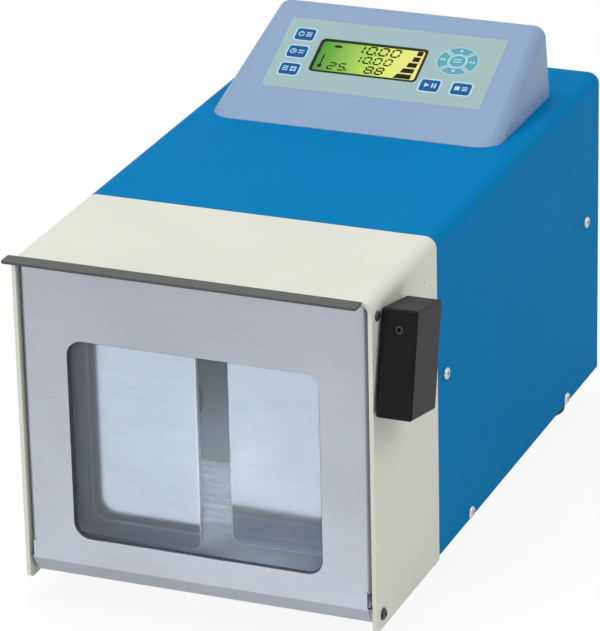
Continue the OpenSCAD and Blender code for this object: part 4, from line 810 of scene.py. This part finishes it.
class PADDLEBLENDER_OT_keypad(Operator):
    """Model the keys, the printed lines round them and the marks on them"""
    bl_idname = "paddle_blender.keypad"
    bl_label = "Keypad"

    def execute(self, context):
        sizes = context.scene.paddle_blender_sizes
        lines = []
        for node in BLUE_KEYS + ARROW_KEYS:
            ink = "blue key ink" if node in BLUE_KEYS else "teal key ink"
            softened(node, sizes.key_edge, finish(ink), segments=2)
            width = sizes.key_line if node in BLUE_KEYS else sizes.pad_line
            lines.append(printed_line(node, LINE_GAP * MM, width, sizes.print_height))
        lines = joined("key_lines", lines)
        smooth(lines, 30.0)
        coat(lines, finish("pale printing ink"))
        carry(lines, "machine", "keypad_film")

        t = sizes.print_height / MM
        z = KEY_TOP + t / 2

        def lines_at(x, y, step, length, count):
            """Short printed lines below one another, about a middle."""
            places = [y + step * ((count - 1) / 2 - i) for i in range(count)]
            return [plate(x, place, z, length, MARK_WIDTH, t) for place in places]

        # Three keys at the left: reset ring, clock and list
        x = LEFT_KEYS
        low, middle, high = LEFT_KEY_ROWS
        key_mark("key_upper", [
            thin_ring(x - 2.6, high, z, 2.0, 0.6, t), plate(x - 2.6, high + 1.7, z, 0.7, 2.0, t),
            *lines_at(x + 2.6, high, 1.5, 3.8, 3)])
        key_mark("key_middle", [
            thin_ring(x - 2.6, middle, z, 2.1, 0.55, t), plate(x - 2.6, middle + 0.6, z, 0.6, 1.5, t),
            plate(x - 2.1, middle, z, 1.4, 0.6, t), *lines_at(x + 2.6, middle, 2.0, 3.8, 2)])
        key_mark("key_lower", lines_at(x - 2.6, low, 1.5, 3.6, 3) + [
            plate(x + across, low + up, z, 1.6, 1.6, t) for up in (1.2, -1.2) for across in (1.6, 3.8)])
        # Start and stop: a triangle beside two bars, and a square beside lines
        x, y = START_KEY, LOW_ROW
        key_mark("key_start", [disc(x - 2.2, y, z, 2.2, t, 3, -math.pi / 2),
                               plate(x + 1.8, y, z, 1.0, 3.8, t), plate(x + 3.7, y, z, 1.0, 3.8, t)])
        x = STOP_KEY
        key_mark("key_stop", [plate(x - 2.5, y, z, 3.2, 3.2, t)] + lines_at(x + 2.4, y, 1.3, 3.6, 3))
        # Arrow pad: a triangle on each sector, doubled at the sides
        x, y = PAD
        key_mark("arrow_up", [disc(x, y + 8.8, z, 1.6, t, 3)])
        key_mark("arrow_down", [disc(x, y - 8.8, z, 1.6, t, 3, math.pi)])
        for node, side in (("arrow_left", -1), ("arrow_right", 1)):
            turn = -side * math.pi / 2
            key_mark(node, [disc(x + side * reach, y, z, 1.3, t, 3, turn) for reach in (8.6, 10.6)])
        key_mark("key_enter", [plate(x, y + up, z, 4.8, 0.8, t) for up in (1.1, -1.1)])
        return {"FINISHED"}


def digits(text, x, y, z, height, width, pitch, stroke, thick):
    """Row of slanted seven-segment digits drawn flat from its lower left corner, in mm."""
    flat = plate(0, 0, 0, width - stroke * BAR_GAP, stroke, thick)
    tall = plate(0, 0, 0, height / 2 - stroke * BAR_GAP, stroke, thick)
    for bar in (flat, tall):
        pick(bar, "EDGE", upright)
        bpy.ops.mesh.bevel(offset=stroke * BAR_POINT * MM, segments=1)
        leave()
    middles = {"a": (width / 2, height), "g": (width / 2, height / 2), "d": (width / 2, 0),
               "f": (0, height * 0.75), "e": (0, height * 0.25), "b": (width, height * 0.75),
               "c": (width, height * 0.25)}
    parts = []
    for sign in text:
        if sign == ".":
            parts.append(disc(x - (pitch - width) / 2, y, z, stroke * 0.6, thick, 4, math.pi / 4))
            continue
        for name in SEGMENTS[sign]:
            across, up = middles[name]
            turn = 0.0 if name in "adg" else math.pi / 2 - math.atan(SLANT)
            parts.append(copied(tall if turn else flat, Matrix.Translation(
                Vector((x + across + SLANT * up, y + up, z)) * MM) @ Matrix.Rotation(turn, 4, "Z")))
        x += pitch
    discard(flat)
    discard(tall)
    return parts


class PADDLEBLENDER_OT_display(Operator):
    """Model the display's frame and lit screen, with its digits, scale and thermometer"""
    bl_idname = "paddle_blender.display"
    bl_label = "Display"

    def execute(self, context):
        sizes = context.scene.paddle_blender_sizes
        cell = softened("lcd_module", 0.12 * MM, finish("screen frame ink"), segments=2, name="display_cell")
        cell.data.materials.append(finish("lit screen"))
        flat = SLOPE.inverted()
        for face in cell.data.polygons:
            level = (flat @ face.center).z / MM
            if face.normal.dot(SLOPE_NORMAL) > 0.95 and abs(level - SCREEN_LEVEL) < 0.15:
                face.material_index = 1
        stroke = sizes.stroke / MM
        t = sizes.print_height / MM
        z = SCREEN_LEVEL + t / 2
        parts = []
        for text, x, y, height, width, pitch, share in DIGIT_ROWS:
            parts += digits(text, x, y, z, height, width, pitch, stroke * share, t)
        # Thermometer, pointer, degree ring and the stepped scale at the right
        parts += [plate(-38.6, 59.0, z, 0.9, 9.4, t), disc(-38.6, 53.6, z, 1.4, t, 24),
                  plate(-30.8, 71.6, z, 2.6, 1.7, t), disc(-33.0, 71.6, z, 1.9, t, 3, math.pi / 2),
                  thin_ring(-20.6, 52.2, z, 0.8, 0.35, t)]
        for step, (left, lean) in enumerate(SCALE_BLOCKS):
            right, foot = SCALE_RIGHT + SCALE_DRIFT * step, SCALE_FOOT + SCALE_RISE * step
            block = plate((left + right) / 2, foot + SCALE_BLOCK / 2, z, right - left, SCALE_BLOCK, t)
            pick(block, "EDGE", lambda middle, way: upright(middle, way) and middle.x < left * MM + 1e-6
                 and middle.y > (foot + SCALE_BLOCK) * MM - 1e-6)
            bpy.ops.transform.translate(value=(lean * MM, 0, 0))
            leave()
            parts.append(block)
        marks = joined("display_marks", parts)
        marks.data.transform(SLOPE)
        coat(marks, finish("liquid crystal segment"))
        carry(marks, "machine", "display")
        return {"FINISHED"}


class PADDLEBLENDER_OT_rear(Operator):
    """Finish the mains inlet, the fuse holder and the power switch"""
    bl_idname = "paddle_blender.rear"
    bl_label = "Rear fittings"

    def execute(self, context):
        for node in ("mains_inlet", "fuse_holder", "switch_bezel"):
            softened(node, 0.4 * MM, finish("black polycarbonate"))
        softened("power_rocker", 0.5 * MM, finish("black polycarbonate"))
        return {"FINISHED"}


class PADDLEBLENDER_OT_drive(Operator):
    """Finish the crank, the bearings, the belt drive, the motor and the boards"""
    bl_idname = "paddle_blender.drive"
    bl_label = "Drive"

    def execute(self, context):
        finishes = {
            "bush_housing": "machined cast iron", "crank_pedestals": "machined cast iron",
            "left_yoke": "machined cast iron", "right_yoke": "machined cast iron",
            "rod_bushes": "sintered bronze", "eccentric_rings": "sintered bronze",
            "crank_bearings": "turned steel", "crankshaft": "turned steel", "motor_shaft": "turned steel",
            "crank_pulley": "machined aluminium", "motor_pulley": "machined aluminium",
            "motor_bracket": "galvanised sheet", "motor_body": "motor enamel", "drive_belt": "black neoprene",
            "power_supply": "solder mask", "motor_driver": "solder mask",
        }
        for node, name in finishes.items():
            softened(node, 0.3 * MM, finish(name), segments=2)
        return {"FINISHED"}


def lamp(name, place, width, power, target, beam):
    """Round soft lamp aimed at a point, with its beam held by a grid to an angle in degrees."""
    data = bpy.data.lights.new(name, "AREA")
    data.shape = "DISK"
    data.size = width
    data.energy = power
    data.spread = math.radians(beam)
    obj = bpy.data.objects.new(name, data)
    bpy.context.scene.collection.objects.link(obj)
    aim = (Vector(target) - Vector(place)).to_track_quat("-Z", "Y").to_matrix().to_4x4()
    obj.matrix_world = Matrix.Translation(place) @ aim


def white_floor():
    """Pale floor, seen almost white and with a trace of the shadow."""
    bpy.ops.object.select_all(action="DESELECT")
    bpy.ops.mesh.primitive_plane_add(size=40.0, location=(0, 0, -0.5 * MM))
    floor = settle()
    floor.name = "floor"
    material = bpy.data.materials.new("white studio floor")
    material.use_nodes = True
    tree = material.node_tree
    tree.nodes.clear()
    share = add_node(tree, "ShaderNodeMath", {0: seen_rays(tree), 1: FLOOR_SHARE}, operation="MULTIPLY")
    paint = add_node(tree, "ShaderNodeBsdfDiffuse", {"Color": grey(FLOOR_PAINT)})
    glow = add_node(tree, "ShaderNodeEmission", {"Color": grey(1.0), "Strength": FLOOR_WHITE})
    mix = add_node(tree, "ShaderNodeMixShader", {
        0: share.outputs[0], 1: paint.outputs[0], 2: glow.outputs[0]})
    add_node(tree, "ShaderNodeOutputMaterial", {"Surface": mix.outputs[0]})
    coat(floor, material)


def white_surroundings():
    """World that is seen white and lights the machine more softly."""
    world = bpy.data.worlds.new("studio")
    bpy.context.scene.world = world
    world.use_nodes = True
    tree = world.node_tree
    tree.nodes.clear()
    soft = add_node(tree, "ShaderNodeBackground", {"Color": grey(1.0), "Strength": ROOM_LIGHT})
    white = add_node(tree, "ShaderNodeBackground", {"Color": grey(1.0), "Strength": 1.0})
    mix = add_node(tree, "ShaderNodeMixShader", {0: seen_rays(tree), 1: soft.outputs[0], 2: white.outputs[0]})
    add_node(tree, "ShaderNodeOutputWorld", {"Surface": mix.outputs[0]})


def photo_camera():
    """Camera at the photograph's viewing angle."""
    azimuth, elevation, roll = (math.radians(v) for v in CAMERA_ANGLES)
    ahead = Vector((-math.sin(azimuth) * math.cos(elevation), math.cos(azimuth) * math.cos(elevation),
                    -math.sin(elevation)))
    level = Vector((math.cos(azimuth), math.sin(azimuth), 0.0))
    above = level.cross(ahead)
    right = math.cos(roll) * level + math.sin(roll) * above
    up = math.cos(roll) * above - math.sin(roll) * level
    data = bpy.data.cameras.new("photo view")
    data.sensor_width = SENSOR
    data.lens = CAMERA_FOCAL * SENSOR / PICTURE_HEIGHT
    data.clip_end = 100.0
    camera = bpy.data.objects.new("photo view", data)
    bpy.context.scene.collection.objects.link(camera)
    turn = Matrix((right, up, -ahead)).transposed().to_4x4()
    camera.matrix_world = Matrix.Translation(CAMERA_PLACE) @ turn
    bpy.context.scene.camera = camera


class PADDLEBLENDER_OT_stage(Operator):
    """Set up the pale floor, the lamps, the white surroundings and the camera"""
    bl_idname = "paddle_blender.stage"
    bl_label = "Stage"

    def execute(self, context):
        white_floor()
        white_surroundings()
        for settings in LAMPS:
            lamp(*settings)
        photo_camera()
        context.scene.view_settings.view_transform = "Standard"
        return {"FINISHED"}


OPERATORS = (
    PADDLEBLENDER_OT_covers, PADDLEBLENDER_OT_door, PADDLEBLENDER_OT_chamber, PADDLEBLENDER_OT_latch,
    PADDLEBLENDER_OT_screws, PADDLEBLENDER_OT_feet, PADDLEBLENDER_OT_console, PADDLEBLENDER_OT_keypad,
    PADDLEBLENDER_OT_display, PADDLEBLENDER_OT_rear, PADDLEBLENDER_OT_drive, PADDLEBLENDER_OT_stage,
)


class PADDLEBLENDER_PT_pieces(Panel):
    """Buttons and settings of the paddle blender"""
    bl_label = "Paddle blender"
    bl_idname = "PADDLEBLENDER_PT_pieces"
    bl_space_type = "VIEW_3D"
    bl_region_type = "UI"
    bl_category = "Paddle blender"

    def draw(self, context):
        for settings in (context.scene.paddle_blender_colours, context.scene.paddle_blender_sizes):
            box = self.layout.box()
            for name in settings.bl_rna.properties.keys():
                if name not in ("rna_type", "name"):
                    box.prop(settings, name)
        for operator in OPERATORS:
            self.layout.operator(operator.bl_idname)


CLASSES = (PaddleBlenderColours, PaddleBlenderSizes) + OPERATORS + (PADDLEBLENDER_PT_pieces,)


def register():
    for cls in CLASSES:
        bpy.utils.register_class(cls)
    bpy.types.Scene.paddle_blender_colours = PointerProperty(type=PaddleBlenderColours)
    bpy.types.Scene.paddle_blender_sizes = PointerProperty(type=PaddleBlenderSizes)


def unregister():
    del bpy.types.Scene.paddle_blender_sizes
    del bpy.types.Scene.paddle_blender_colours
    for cls in reversed(CLASSES):
        bpy.utils.unregister_class(cls)


def main():
    register()
    pieces = bpy.ops.paddle_blender
    for make in (pieces.covers, pieces.door, pieces.chamber, pieces.latch, pieces.screws, pieces.feet,
                 pieces.console, pieces.keypad, pieces.display, pieces.rear, pieces.drive, pieces.stage):
        make()


if __name__ == "__main__":
    main()
